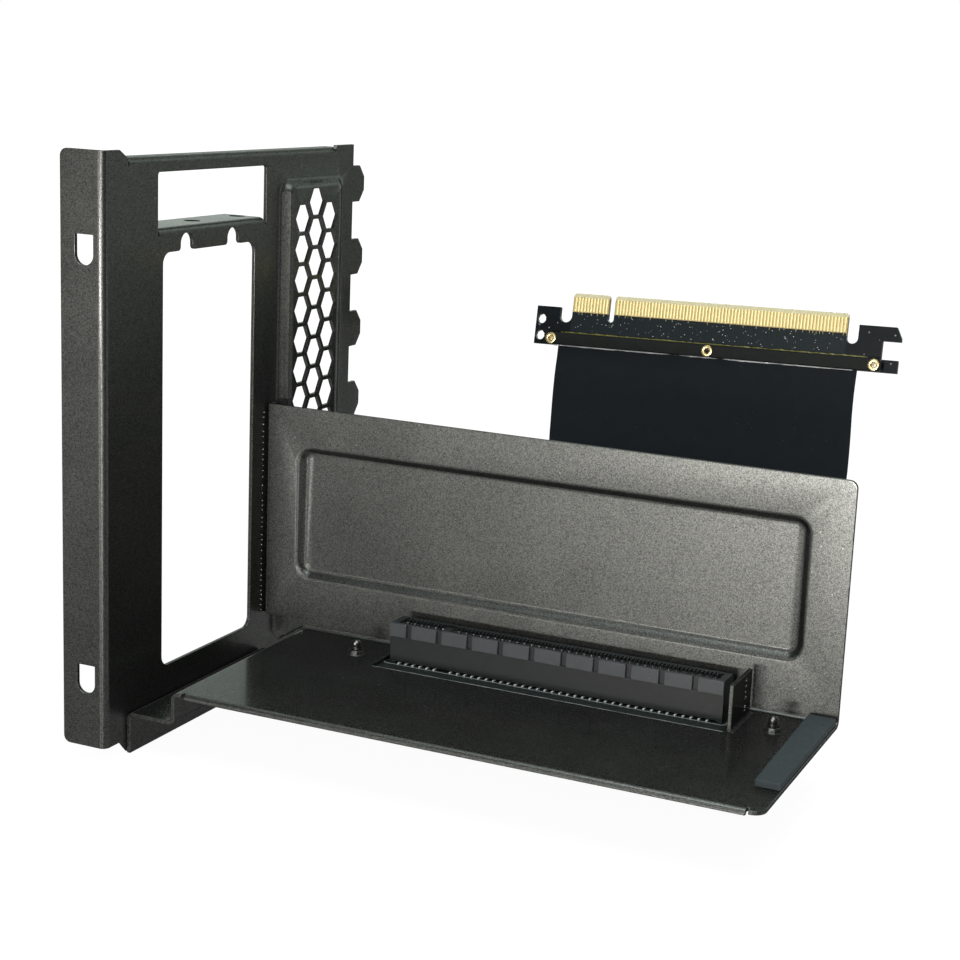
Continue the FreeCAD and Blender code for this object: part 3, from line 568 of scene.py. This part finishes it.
easedCopy("plug_board", "plugBoard", plugMask, "board", ease=0.04)
easedCopy("slot_board", "slotBoard", slotBoardMask, "board", ease=0.05)
easedCopy("plug_clamp_bar", "plugClamp", clampPlastic, "clamp", ease=0.22)
easedCopy("slot_clamp_bar", "slotClamp", clampPlastic, "clamp", ease=0.22)
# the contact tails take the near-white tin that is their painted highlight
for nodeName, mat in (("slot_contacts", tailTinPaintedGlint), ("edge_fingers", fingerGold)):
    data = nodes[nodeName].data
    data.materials.clear()
    data.materials.append(mat)
print("boards, clamps and contacts")


# geometry node helpers

def newTree(name, inputs):
    tree = bpy.data.node_groups.new(name, "GeometryNodeTree")
    tree.interface.new_socket("Geometry", in_out="OUTPUT", socket_type="NodeSocketGeometry")
    for label, kind, value in inputs:
        socket = tree.interface.new_socket(label, in_out="INPUT", socket_type="NodeSocket" + kind)
        if value is not None:
            socket.default_value = value
    return tree, tree.nodes.new("NodeGroupInput").outputs, tree.nodes.new("NodeGroupOutput")


def finishTree(tree, geometry, material, out):
    solid = addNode(tree, "GeometryNodeRealizeInstances", Geometry=geometry)
    painted = addNode(tree, "GeometryNodeSetMaterial", Geometry=solid.outputs[0], Material=material)
    tree.links.new(painted.outputs[0], out.inputs[0])


def runTree(tree, name, material, values, smooth=None):
    mesh = bpy.data.meshes.new(name)
    obj = bpy.data.objects.new(name, mesh)
    scene.collection.objects.link(obj)
    mod = obj.modifiers.new("build", "NODES")
    mod.node_group = tree
    for item in tree.interface.items_tree:
        if item.item_type == "SOCKET" and item.in_out == "INPUT":
            value = material if item.name == "Material" else values.get(item.name)
            if value is not None:
                mod[item.identifier] = value
    done = evaluatedMesh(obj)
    obj.modifiers.clear()
    bpy.data.objects.remove(obj)
    if smooth:
        smoothByAngle(done, smooth)
    return newPiece(name, done, material)


def lineOfPoints(tree, count, start, step):
    node = addNode(tree, "GeometryNodeMeshLine", {"mode": "OFFSET", "count_mode": "TOTAL"},
                   Count=count, Offset=step)
    wire(tree, start, node.inputs["Start Location"])
    return node.outputs[0]


def joined(tree, *geometries):
    node = tree.nodes.new("GeometryNodeJoinGeometry")
    for geometry in reversed(geometries):
        tree.links.new(geometry, node.inputs[0])
    return node.outputs[0]


def moved(tree, geometry, offset):
    return addNode(tree, "GeometryNodeTransform", Geometry=geometry, Translation=offset).outputs[0]


# two runs of small blocks on both sides of the card's plane: pocket walls, spring blades
rowTree, given, out = newTree("slotRows", [
    ("Short Count", "Int", 10), ("Long Count", "Int", 70), ("Short Start", "Vector", None),
    ("Long Start", "Vector", None), ("Step", "Vector", None), ("Aside", "Vector", None),
    ("Size", "Vector", None), ("Material", "Material", None)])
points = joined(rowTree, lineOfPoints(rowTree, given["Short Count"], given["Short Start"], given["Step"]),
                lineOfPoints(rowTree, given["Long Count"], given["Long Start"], given["Step"]))
opposite = addNode(rowTree, "ShaderNodeVectorMath", {"operation": "SCALE"})
rowTree.links.new(given["Aside"], opposite.inputs[0])
opposite.inputs["Scale"].default_value = -1.0
points = joined(rowTree, moved(rowTree, points, given["Aside"]), moved(rowTree, points, opposite.outputs[0]))
block = addNode(rowTree, "GeometryNodeMeshCube", Size=given["Size"])
blocks = addNode(rowTree, "GeometryNodeInstanceOnPoints", Points=points, Instance=block.outputs[0])
finishTree(rowTree, blocks.outputs[0], given["Material"], out)


# card slot

slotSet = {"left": 44.6, "right": 133.6, "plane": 61.75, "low": 16.95, "foot": 16.5, "footWidth": 1.6,
           "top": 27.0, "wall": 3.15, "inner": 2.3, "groove": 0.875, "floor": 19.55, "floorInset": 0.3,
           "short": (46.4, 58.05), "long": (60.15, 131.8), "shortFirst": 47.325, "longFirst": 60.875,
           "shortCount": 11, "longCount": 71, "pitch": 1.0, "lap": 0.05, "ease": 0.09, "easeSteps": 2,
           "rib": 0.42, "ribDrop": 0.03, "ribLap": 0.1, "rim": 0.35, "rimLift": 0.1, "rearRim": 0.4,
           "keyDrop": 0.5, "endDrop": 0.02, "padHeight": 3.4, "padFirst": 4.6, "padPitch": 8.5, "padGap": 1.5,
           "padFoot": 0.6, "padHead": 0.45, "padBack": -0.7, "padDrop": 0.01,
           "blade": (0.4, 0.25), "bladeDrop": 0.8, "bladeAside": 0.225}


def slotBody(s):
    bm = bmesh.new()
    p = s["plane"]
    left, right, low, top = (s[k] for k in ("left", "right", "low", "top"))
    front, rear = p - s["inner"] - s["lap"], p + s["inner"] + s["lap"]
    limits = []
    for side in (-1, 1):
        for reach, foot, head in ((s["wall"], low, top - s["padHeight"]),
                                  (s["inner"] + s["rim"], low + s["rimLift"], top)):
            near, far = sorted((p + side * s["inner"], p + side * reach))
            limits.append(((left, near, foot), (right, far, head)))
    limits.append(((left, p + s["inner"], top - s["rearRim"]), (right, p + s["wall"] + s["padHead"], top)))
    ends = ((left, s["short"][0], s["endDrop"]), (s["short"][1], s["long"][0], s["keyDrop"]),
            (s["long"][1], right, s["endDrop"]))
    for a, b, drop in ends:  # the two ends and the key
        limits.append(((a, front, low), (b, rear, top - drop)))
    limits.append(((left + s["floorInset"], front, low + s["endDrop"]),
                   (right - s["floorInset"], rear, s["floor"])))
    for x in (left, right - s["footWidth"]):
        limits.append(((x, p - s["wall"], s["foot"]), (x + s["footWidth"], p + s["wall"], low + s["lap"])))
    boxes(bm, limits)
    return meshFrom(bm, "slotHousing")


# the pads: short ramps that stand furthest out at their foot
def slotPads(s):
    bm = bmesh.new()
    p = s["plane"]
    edges = [s["left"]]
    x = s["left"] + s["padFirst"]
    while x + s["padGap"] < s["right"]:
        edges += [x, x + s["padGap"]]
        x += s["padPitch"]
    edges.append(s["right"])
    low, high = s["top"] - s["padHeight"], s["top"] - s["padDrop"]
    for side in (-1, 1):
        for a, b in zip(edges[::2], edges[1::2]):
            back, head, foot = (p + side * (s["wall"] + s[k]) for k in ("padBack", "padHead", "padFoot"))
            section = ((back, low), (foot, low), (head, high), (back, high))
            ring = [[bm.verts.new(place(x, y, z)) for y, z in section] for x in (a, b)]
            faces = [ring[0], list(reversed(ring[1]))]
            for i in range(4):
                faces.append([ring[0][i], ring[0][i - 1], ring[1][i - 1], ring[1][i]])
            made = [bm.faces.new(f) for f in faces]
            bmesh.ops.recalc_face_normals(bm, faces=made)
    return meshFrom(bm, "slotPads")


s = slotSet
housing = newPiece("slotHousing", eased(slotBody(s), s["ease"], s["easeSteps"]), slotPlastic)
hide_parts("slot_housing")
newPiece("slotPads", eased(slotPads(s), s["ease"], s["easeSteps"]), padPlasticPaintedLight)

depth = s["inner"] - s["groove"]
ribMiddle = (s["groove"] + s["inner"]) / 2
ribLow, ribTop = s["floor"] - s["ribLap"], s["top"] - s["ribDrop"]
runTree(rowTree, "slotRibs", slotPlastic, {
    "Short Count": s["shortCount"] - 1, "Long Count": s["longCount"] - 1,
    "Short Start": place(s["shortFirst"] + s["pitch"] / 2, s["plane"], (ribLow + ribTop) / 2),
    "Long Start": place(s["longFirst"] + s["pitch"] / 2, s["plane"], (ribLow + ribTop) / 2),
    "Step": (s["pitch"] / 1000, 0, 0), "Aside": (0, ribMiddle / 1000, 0),
    "Size": (s["rib"] / 1000, (depth + s["ribLap"]) / 1000, (ribTop - ribLow) / 1000)})
bladeTop = s["top"] - s["bladeDrop"]
runTree(rowTree, "slotBlades", tinPlate, {
    "Short Count": s["shortCount"] // 2, "Long Count": (s["longCount"] + 1) // 2,
    "Short Start": place(s["shortFirst"] + s["pitch"], s["plane"], (ribLow + bladeTop) / 2),
    "Long Start": place(s["longFirst"], s["plane"], (ribLow + bladeTop) / 2),
    "Step": (2 * s["pitch"] / 1000, 0, 0), "Aside": (0, (s["groove"] + s["bladeAside"]) / 1000, 0),
    "Size": (s["blade"][0] / 1000, s["blade"][1] / 1000, (bladeTop - ribLow) / 1000)})
print("card slot")

# ribbon cable

ribbonSet = {"corners": ((73.6, 14.4), (169.932, 14.4), (173.151, 75.812), (175.677, 86.932)), "radius": 42.5,
             "left": 38.6, "right": 131.4, "half": 0.5, "thin": 0.9, "turnSteps": 40, "runStep": 1.2,
             "across": 72, "edgeSteps": 6, "endFade": 6, "edgeWave": 0.5, "edgeNoise": (0.07, 9.1),
             "ripple": 0.10, "rippleNoise": (0.09, 0.05, 3.3), "rippleSink": 0.2, "rippleFrom": 0.3,
             "flare": (0.5, 0.7), "flareOver": 22}


def ribbonLine(s):
    corners = [Vector(c) for c in s["corners"]]
    line = [corners[0]]
    for before, corner, after in zip(corners, corners[1:], corners[2:]):
        a, b = (corner - before).normalized(), (after - corner).normalized()
        angle = a.angle(b)
        setback = s["radius"] * tan(angle / 2)
        hand = 1 if a.x * b.y - a.y * b.x > 0 else -1
        centre = corner - a * setback + Vector((-a.y, a.x)) * s["radius"] * hand
        spoke = corner - a * setback - centre
        steps = max(4, int(s["turnSteps"] * angle / (pi / 2)))
        for i in range(steps + 1):
            turn = hand * angle * i / steps
            line.append(centre + Vector((spoke.x * cos(turn) - spoke.y * sin(turn),
                                         spoke.x * sin(turn) + spoke.y * cos(turn))))
    line.append(corners[-1])
    dense = [line[0]]
    for a, b in zip(line, line[1:]):
        n = max(1, int((b - a).length / s["runStep"]))
        dense += [a.lerp(b, i / n) for i in range(1, n + 1)]
    return dense


def ribbonMesh(s):
    line = ribbonLine(s)
    last = len(line) - 1
    half, steps = s["half"], s["edgeSteps"]
    acrossScale, alongScale, layer = s["rippleNoise"]
    edgeTurn = [(half * sin(pi * k / steps), half * cos(pi * k / steps)) for k in range(1, steps)]
    bm = bmesh.new()
    rings = []
    for i, point in enumerate(line):
        along = (line[min(i + 1, last)] - line[max(i - 1, 0)]).normalized()
        side = Vector((-along.y, along.x))
        fade = min(1, i / s["endFade"], (last - i) / s["endFade"])
        wave = [s["edgeWave"] * fade * (0.5 + noise.noise((i * s["edgeNoise"][0], k * s["edgeNoise"][1], 0)))
                for k in (0, 1)]
        flare = min(1, (last - i) / s["flareOver"], i / s["flareOver"])
        left = s["left"] + wave[0] - s["flare"][0] * flare
        right = s["right"] - wave[1] + s["flare"][1] * flare
        flat = [left + half + (right - left - 2 * half) * k / s["across"] for k in range(s["across"] + 1)]
        ring = [(x, half) for x in flat]
        ring += [(right - half + out, off) for out, off in edgeTurn]
        ring += [(x, -half) for x in reversed(flat)]
        ring += [(left + half - out, -off) for out, off in edgeTurn]
        verts = []
        for x, off in ring:
            ripple = fade * noise.noise((x * acrossScale, i * alongScale, layer)) - s["rippleSink"]
            lift = s["ripple"] * ripple if abs(off) > s["rippleFrom"] else 0
            at = point + side * (off * s["thin"] + lift)
            verts.append(bm.verts.new(place(x, at.x, at.y)))
        rings.append(verts)
    count = len(rings[0])
    for a, b in zip(rings, rings[1:]):
        for k in range(count):
            bm.faces.new((a[k], a[(k + 1) % count], b[(k + 1) % count], b[k]))
    bm.faces.new(rings[0])
    bm.faces.new(list(reversed(rings[-1])))
    bmesh.ops.recalc_face_normals(bm, faces=bm.faces)
    mesh = meshFrom(bm, "ribbonSheath")
    smoothByAngle(mesh, 50)
    return mesh


ribbon = newPiece("ribbonSheath", ribbonMesh(ribbonSet), ribbonSkin)
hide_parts("ribbon_cable")
print("ribbon cable:", len(ribbon.data.polygons), "faces")

# foam strip

foamSet = {"low": (153.3, 21.8, 17.5), "high": (158.7, 68.7, 19.3), "spread": (0.5, 1.5), "cells": 0.7,
           "ease": 0.3, "easeSteps": 3, "dent": 0.05, "dentScale": 900, "flatFoot": 0.2}


def foamMesh(s):
    size = [b - a for a, b in zip(s["low"], s["high"])]
    bm = bmesh.new()
    boxes(bm, [(s["low"], s["high"])])
    bmesh.ops.bevel(bm, geom=list(bm.edges), offset=s["ease"] / 1000, segments=s["easeSteps"], profile=0.5,
                    affect="EDGES")
    for axis in range(3):
        cuts = int(size[axis] / s["cells"])
        for i in range(1, cuts):
            point, normal = list(s["low"]), [0, 0, 0]
            point[axis] += size[axis] * i / cuts
            normal[axis] = 1
            bmesh.ops.bisect_plane(bm, geom=list(bm.verts) + list(bm.edges) + list(bm.faces),
                                   plane_co=place(*point), plane_no=normal)
    near, far = place(*s["low"]), place(*s["high"])
    for v in bm.verts:  # cut by hand: wider towards the panel
        wide = s["spread"][0] + (s["spread"][1] - s["spread"][0]) * (v.co.y - near.y) / (far.y - near.y)
        v.co.x -= wide / 1000 * (far.x - v.co.x) / (far.x - near.x)
    bm.normal_update()
    for v in bm.verts:
        if v.co.z > near.z + s["flatFoot"] / 1000:
            v.co -= v.normal * s["dent"] / 1000 * (0.5 + noise.noise(v.co * s["dentScale"]))
    mesh = meshFrom(bm, "foamStrip")
    smoothByAngle(mesh, 60)
    return mesh


foam = newPiece("foamStrip", foamMesh(foamSet), foamSkin)
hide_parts("foam_strip")
print("foam strip:", len(foam.data.polygons), "faces")

# eyelets and screws

# a lip's curve: radius and depth, from the bore out; a screw's profile: radius and height, from head to tip
eyeletSet = {"count": 3, "first": 2.3, "apart": 49.8, "near": -1.6, "far": 2.6, "lip": 0.3, "barrel": 1.05,
             "lipCurve": ((0.75, 0.25), (0.85, 0.06), (1.05, 0.0), (1.4, 0.0), (1.62, 0.08), (1.7, 0.28)),
             "sides": 28}
screwSet = {"count": 2, "first": (35.6, 57.3, 14.9), "apart": 110.8, "sides": 28,
            "profile": ((0.01, -1.2), (1.0, -1.2), (1.25, -1.9), (2.2, -1.9), (2.68, -1.4), (2.8, -0.15),
                        (2.7, 0.0), (1.1, 0.0), (1.1, 5.7), (0.6, 6.2), (0.01, 6.2)),
            "shank": 1.1, "thread": 0.24, "pitch": 0.68, "threadFrom": 17.6, "threadRise": 2.9}


def lathe(name, profile, sides):
    bm = bmesh.new()
    rings = []
    turns = [2 * pi * k / sides for k in range(sides)]
    for radius, height in profile:
        rings.append([bm.verts.new((radius * cos(turn), height, radius * sin(turn))) for turn in turns])
    for a, b in zip(rings, rings[1:] + rings[:1]):
        for k in range(sides):
            bm.faces.new((a[k], a[(k + 1) % sides], b[(k + 1) % sides], b[k]))
    bmesh.ops.recalc_face_normals(bm, faces=bm.faces)
    mesh = meshFrom(bm, name)
    smoothByAngle(mesh, 40)
    return mesh


# copies of one shape on a few points, turned and set in place together
copyTree, given, out = newTree("copiesOnPoints", [
    ("Shape", "Object", None), ("Count", "Int", 3), ("Start", "Vector", None), ("Step", "Vector", None),
    ("Turn", "Rotation", None), ("Shift", "Vector", None), ("Scale", "Vector", (0.001, 0.001, 0.001)),
    ("Material", "Material", None)])
shape = addNode(copyTree, "GeometryNodeObjectInfo", Object=given["Shape"])
copies = addNode(copyTree, "GeometryNodeInstanceOnPoints",
                 Points=lineOfPoints(copyTree, given["Count"], given["Start"], given["Step"]),
                 Instance=shape.outputs["Geometry"])
settled = addNode(copyTree, "GeometryNodeTransform", Geometry=copies.outputs[0], Translation=given["Shift"],
                  Rotation=given["Turn"], Scale=given["Scale"])
finishTree(copyTree, settled.outputs[0], given["Material"], out)


# one lathed shape, copied along a line of the frame that it stands in
def copiesOf(shapeName, profile, s, first, frameMatrix, pieceName, material):
    shape = bpy.data.objects.new(shapeName, lathe(shapeName, profile, s["sides"]))
    scene.collection.objects.link(shape)
    piece = runTree(copyTree, pieceName, material, {
        "Shape": shape, "Count": s["count"], "Start": (first, 0, 0), "Step": (s["apart"], 0, 0),
        "Turn": frameMatrix.to_euler(), "Shift": frameMatrix.to_translation()}, smooth=40)
    bpy.data.objects.remove(shape)
    return piece


s = eyeletSet
lipOut, lipFar = s["near"] - s["lip"], s["far"] + s["lip"]
eyeletProfile = [(radius, lipOut + depth) for radius, depth in s["lipCurve"]]
eyeletProfile += [(s["barrel"], s["near"]), (s["barrel"], s["far"])]
eyeletProfile += [(radius, lipFar - depth) for radius, depth in reversed(s["lipCurve"])]
for frameMatrix, name, nodeName in ((plugClampFrame, "plugEyelets", "plug_eyelets"),
                                    (slotClampFrame, "slotEyelets", "slot_eyelets")):
    piece = copiesOf("eyeletShape", eyeletProfile, s, s["first"], frameMatrix, name, eyeletBrass)
    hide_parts(nodeName)
print("eyelets")

s = screwSet
stand = drawn(Matrix.Translation(s["first"]) @ Matrix.Rotation(radians(90), 4, "X"))
screws = copiesOf("screwShape", s["profile"], s, 0, stand, "slotScrews", screwSteel)
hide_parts("slot_screws")

# the thread winds up the shank above the boss
threadTree, given, out = newTree("screwThread", [
    ("Turns", "Float", 6.0), ("Radius", "Float", 0.0013), ("Height", "Float", 0.003),
    ("Depth", "Float", 0.0002), ("Count", "Int", 2), ("Start", "Vector", None), ("Step", "Vector", None),
    ("Material", "Material", None)])
spiral = addNode(threadTree, "GeometryNodeCurveSpiral", Resolution=20, Rotations=given["Turns"],
                 Height=given["Height"])
threadTree.links.new(given["Radius"], spiral.inputs["Start Radius"])
threadTree.links.new(given["Radius"], spiral.inputs["End Radius"])
ridge = addNode(threadTree, "GeometryNodeCurvePrimitiveCircle", Resolution=4, Radius=given["Depth"])
thread = addNode(threadTree, "GeometryNodeCurveToMesh", Curve=spiral.outputs[0])
threadTree.links.new(ridge.outputs[0], thread.inputs["Profile Curve"])
thread.inputs["Fill Caps"].default_value = True
copies = addNode(threadTree, "GeometryNodeInstanceOnPoints", Instance=thread.outputs[0],
                 Points=lineOfPoints(threadTree, given["Count"], given["Start"], given["Step"]))
finishTree(threadTree, copies.outputs[0], given["Material"], out)
runTree(threadTree, "screwThreads", screwSteel, {
    "Turns": s["threadRise"] / s["pitch"], "Radius": s["shank"] / 1000, "Height": s["threadRise"] / 1000,
    "Depth": s["thread"] / 1000, "Count": s["count"], "Start": place(*s["first"][:2], s["threadFrom"]),
    "Step": (s["apart"] / 1000, 0, 0)}, smooth=20)
print("screws")

# glue and flux beads, solder specks, and grey lines and dots that are painted highlights

lumpBand = (0.35, 0.7)
beadTree, given, out = newTree("unevenBead", [
    ("From", "Vector", None), ("To", "Vector", None), ("Count", "Int", 220), ("Thick", "Float", 0.0002),
    ("Uneven", "Float", 0.6), ("Lump Scale", "Float", 300.0), ("Material", "Material", None)])
run = addNode(beadTree, "GeometryNodeCurvePrimitiveLine", Start=given["From"], End=given["To"])
run = addNode(beadTree, "GeometryNodeResampleCurve", Curve=run.outputs[0], Count=given["Count"])
here = beadTree.nodes.new("GeometryNodeInputPosition")
lump = addNode(beadTree, "ShaderNodeTexNoise", Vector=here.outputs[0], Scale=given["Lump Scale"], Detail=3.0)
low = calc(beadTree, "SUBTRACT", 1.0, given["Uneven"])
wide = span(beadTree, lump.outputs[0], *lumpBand, low, 1.0)
sized = addNode(beadTree, "GeometryNodeSetCurveRadius", Curve=run.outputs[0], Radius=wide)
rim = addNode(beadTree, "GeometryNodeCurvePrimitiveCircle", Resolution=8, Radius=given["Thick"])
bead = addNode(beadTree, "GeometryNodeCurveToMesh", Curve=sized.outputs[0])
beadTree.links.new(rim.outputs[0], bead.inputs["Profile Curve"])
beadTree.links.new(wide, bead.inputs["Scale"])
bead.inputs["Fill Caps"].default_value = True
finishTree(beadTree, bead.outputs[0], given["Material"], out)

beadSet = {
    "glueLine": {"on": plugClampFrame, "ends": ((3.2, -0.3, -1.95), (95.6, -0.3, -1.95)), "thick": 0.38,
                 "uneven": 1.0, "lumps": 170.0, "material": glueClear, "slot": "clamp"},
    "fluxLine": {"on": plugClampFrame, "ends": ((4.6, 0.65, 2.15), (99.6, 0.65, 2.15)), "thick": 0.36,
                 "uneven": 0.75, "lumps": 620.0, "material": fluxAmber, "slot": "clamp"},
    # a grey line on the tray's cut edge: a painted highlight
    "cutEdge": {"on": drawn(Matrix()), "ends": ((43.6, 50.92, 17.43), (136.4, 50.92, 17.43)), "thick": 0.13,
                "uneven": 0.6, "lumps": 240.0, "material": printInkAndPaintedGlints, "slot": "powder_coat"},
}
for name, b in beadSet.items():
    runTree(beadTree, name, b["material"], {
        "From": b["on"] @ Vector(b["ends"][0]), "To": b["on"] @ Vector(b["ends"][1]),
        "Thick": b["thick"] / 1000, "Uneven": b["uneven"], "Lump Scale": b["lumps"]}, smooth=50)

# drops strewn over a patch: solder specks below the plug's fingers, and grey dots on the sheets that are
# painted highlights
speckTree, given, out = newTree("strewnDrops", [
    ("Width", "Float", 0.08), ("Height", "Float", 0.004), ("Density", "Float", 1e5), ("Apart", "Float", 0.0),
    ("Seed", "Int", 4), ("Small", "Float", 0.4), ("Large", "Float", 1.0), ("Radius", "Float", 0.0002),
    ("Turn", "Rotation", None), ("Shift", "Vector", None), ("Material", "Material", None)])
sheet = addNode(speckTree, "GeometryNodeMeshGrid", Size_X=given["Width"], Size_Y=given["Height"])
strewn = addNode(speckTree, "GeometryNodeDistributePointsOnFaces", {"distribute_method": "POISSON"},
                 Mesh=sheet.outputs[0], Density_Max=given["Density"], Distance_Min=given["Apart"],
                 Seed=given["Seed"])
drop = addNode(speckTree, "GeometryNodeMeshIcoSphere", Radius=given["Radius"], Subdivisions=1)
amount = addNode(speckTree, "FunctionNodeRandomValue", {"data_type": "FLOAT"}, Seed=given["Seed"])
speckTree.links.new(given["Small"], amount.inputs[2])
speckTree.links.new(given["Large"], amount.inputs[3])
drops = addNode(speckTree, "GeometryNodeInstanceOnPoints", Points=strewn.outputs["Points"],
                Instance=drop.outputs[0], Scale=amount.outputs[1])
laid = addNode(speckTree, "GeometryNodeTransform", Geometry=drops.outputs[0], Translation=given["Shift"],
               Rotation=given["Turn"])
finishTree(speckTree, laid.outputs[0], given["Material"], out)
speckSet = {
    "plugSpecks": {"on": plugFrame, "middle": (42.6, 0.02, -8.7), "turnOn": "X",
                   "size": (84.0, 5.2), "density": 0.3, "apart": 0.0, "radius": 0.15, "small": 0.25,
                   "seed": 11, "material": solder, "slot": "board"},
    # grey dots in the gap at the panel's left edge and on the end tab: painted glints
    "seamBeads": {"on": drawn(Matrix()), "middle": (0.1, 68.7, 47.5), "turnOn": "Y",
                  "size": (54.0, 0.3), "density": 30.0, "apart": 1.2, "radius": 0.2, "small": 0.7, "seed": 5,
                  "material": printInkAndPaintedGlints, "slot": "powder_coat"},
    "tabBeads": {"on": drawn(Matrix()), "middle": (138.0, 61.6, 23.6), "turnOn": "Y",
                 "size": (8.0, 0.8), "density": 3.0, "apart": 0.3, "radius": 0.24, "small": 0.4, "seed": 8,
                 "material": printInkAndPaintedGlints, "slot": "powder_coat"},
}
for name, s in speckSet.items():
    lay = s["on"] @ Matrix.Translation(s["middle"]) @ Matrix.Rotation(radians(90), 4, s["turnOn"])
    runTree(speckTree, name, s["material"], {
        "Width": s["size"][0] / 1000, "Height": s["size"][1] / 1000, "Density": s["density"] * 1e6,
        "Apart": s["apart"] / 1000, "Seed": s["seed"], "Small": s["small"], "Radius": s["radius"] / 1000,
        "Turn": lay.to_euler(), "Shift": lay.to_translation()}, smooth=60)
print("glue, flux, solder and weld beads")

# printed line on the slot board

lineSet = {"points": ((42.0, 59.4), (44.0, 57.55), (134.0, 57.55), (134.6, 58.2), (134.6, 66.0)),
           "width": 0.22, "level": 16.5, "thick": 0.03}


def lineMesh(s):
    bm = bmesh.new()
    points = [Vector(p) for p in s["points"]]
    for a, b in zip(points, points[1:]):
        along = (b - a).normalized() * s["width"] / 2
        side = Vector((-along.y, along.x))
        foot = [a - along + side, a - along - side, b + along - side, b + along + side]
        low = [bm.verts.new(place(p.x, p.y, s["level"])) for p in foot]
        high = [bm.verts.new(place(p.x, p.y, s["level"] + s["thick"])) for p in foot]
        made = [bm.faces.new(high), bm.faces.new(list(reversed(low)))]
        made += [bm.faces.new((low[i], low[(i + 1) % 4], high[(i + 1) % 4], high[i])) for i in range(4)]
        bmesh.ops.recalc_face_normals(bm, faces=made)
    return meshFrom(bm, "printedLine")


newPiece("printedLine", lineMesh(lineSet), printInkAndPaintedGlints)
print("printed line")
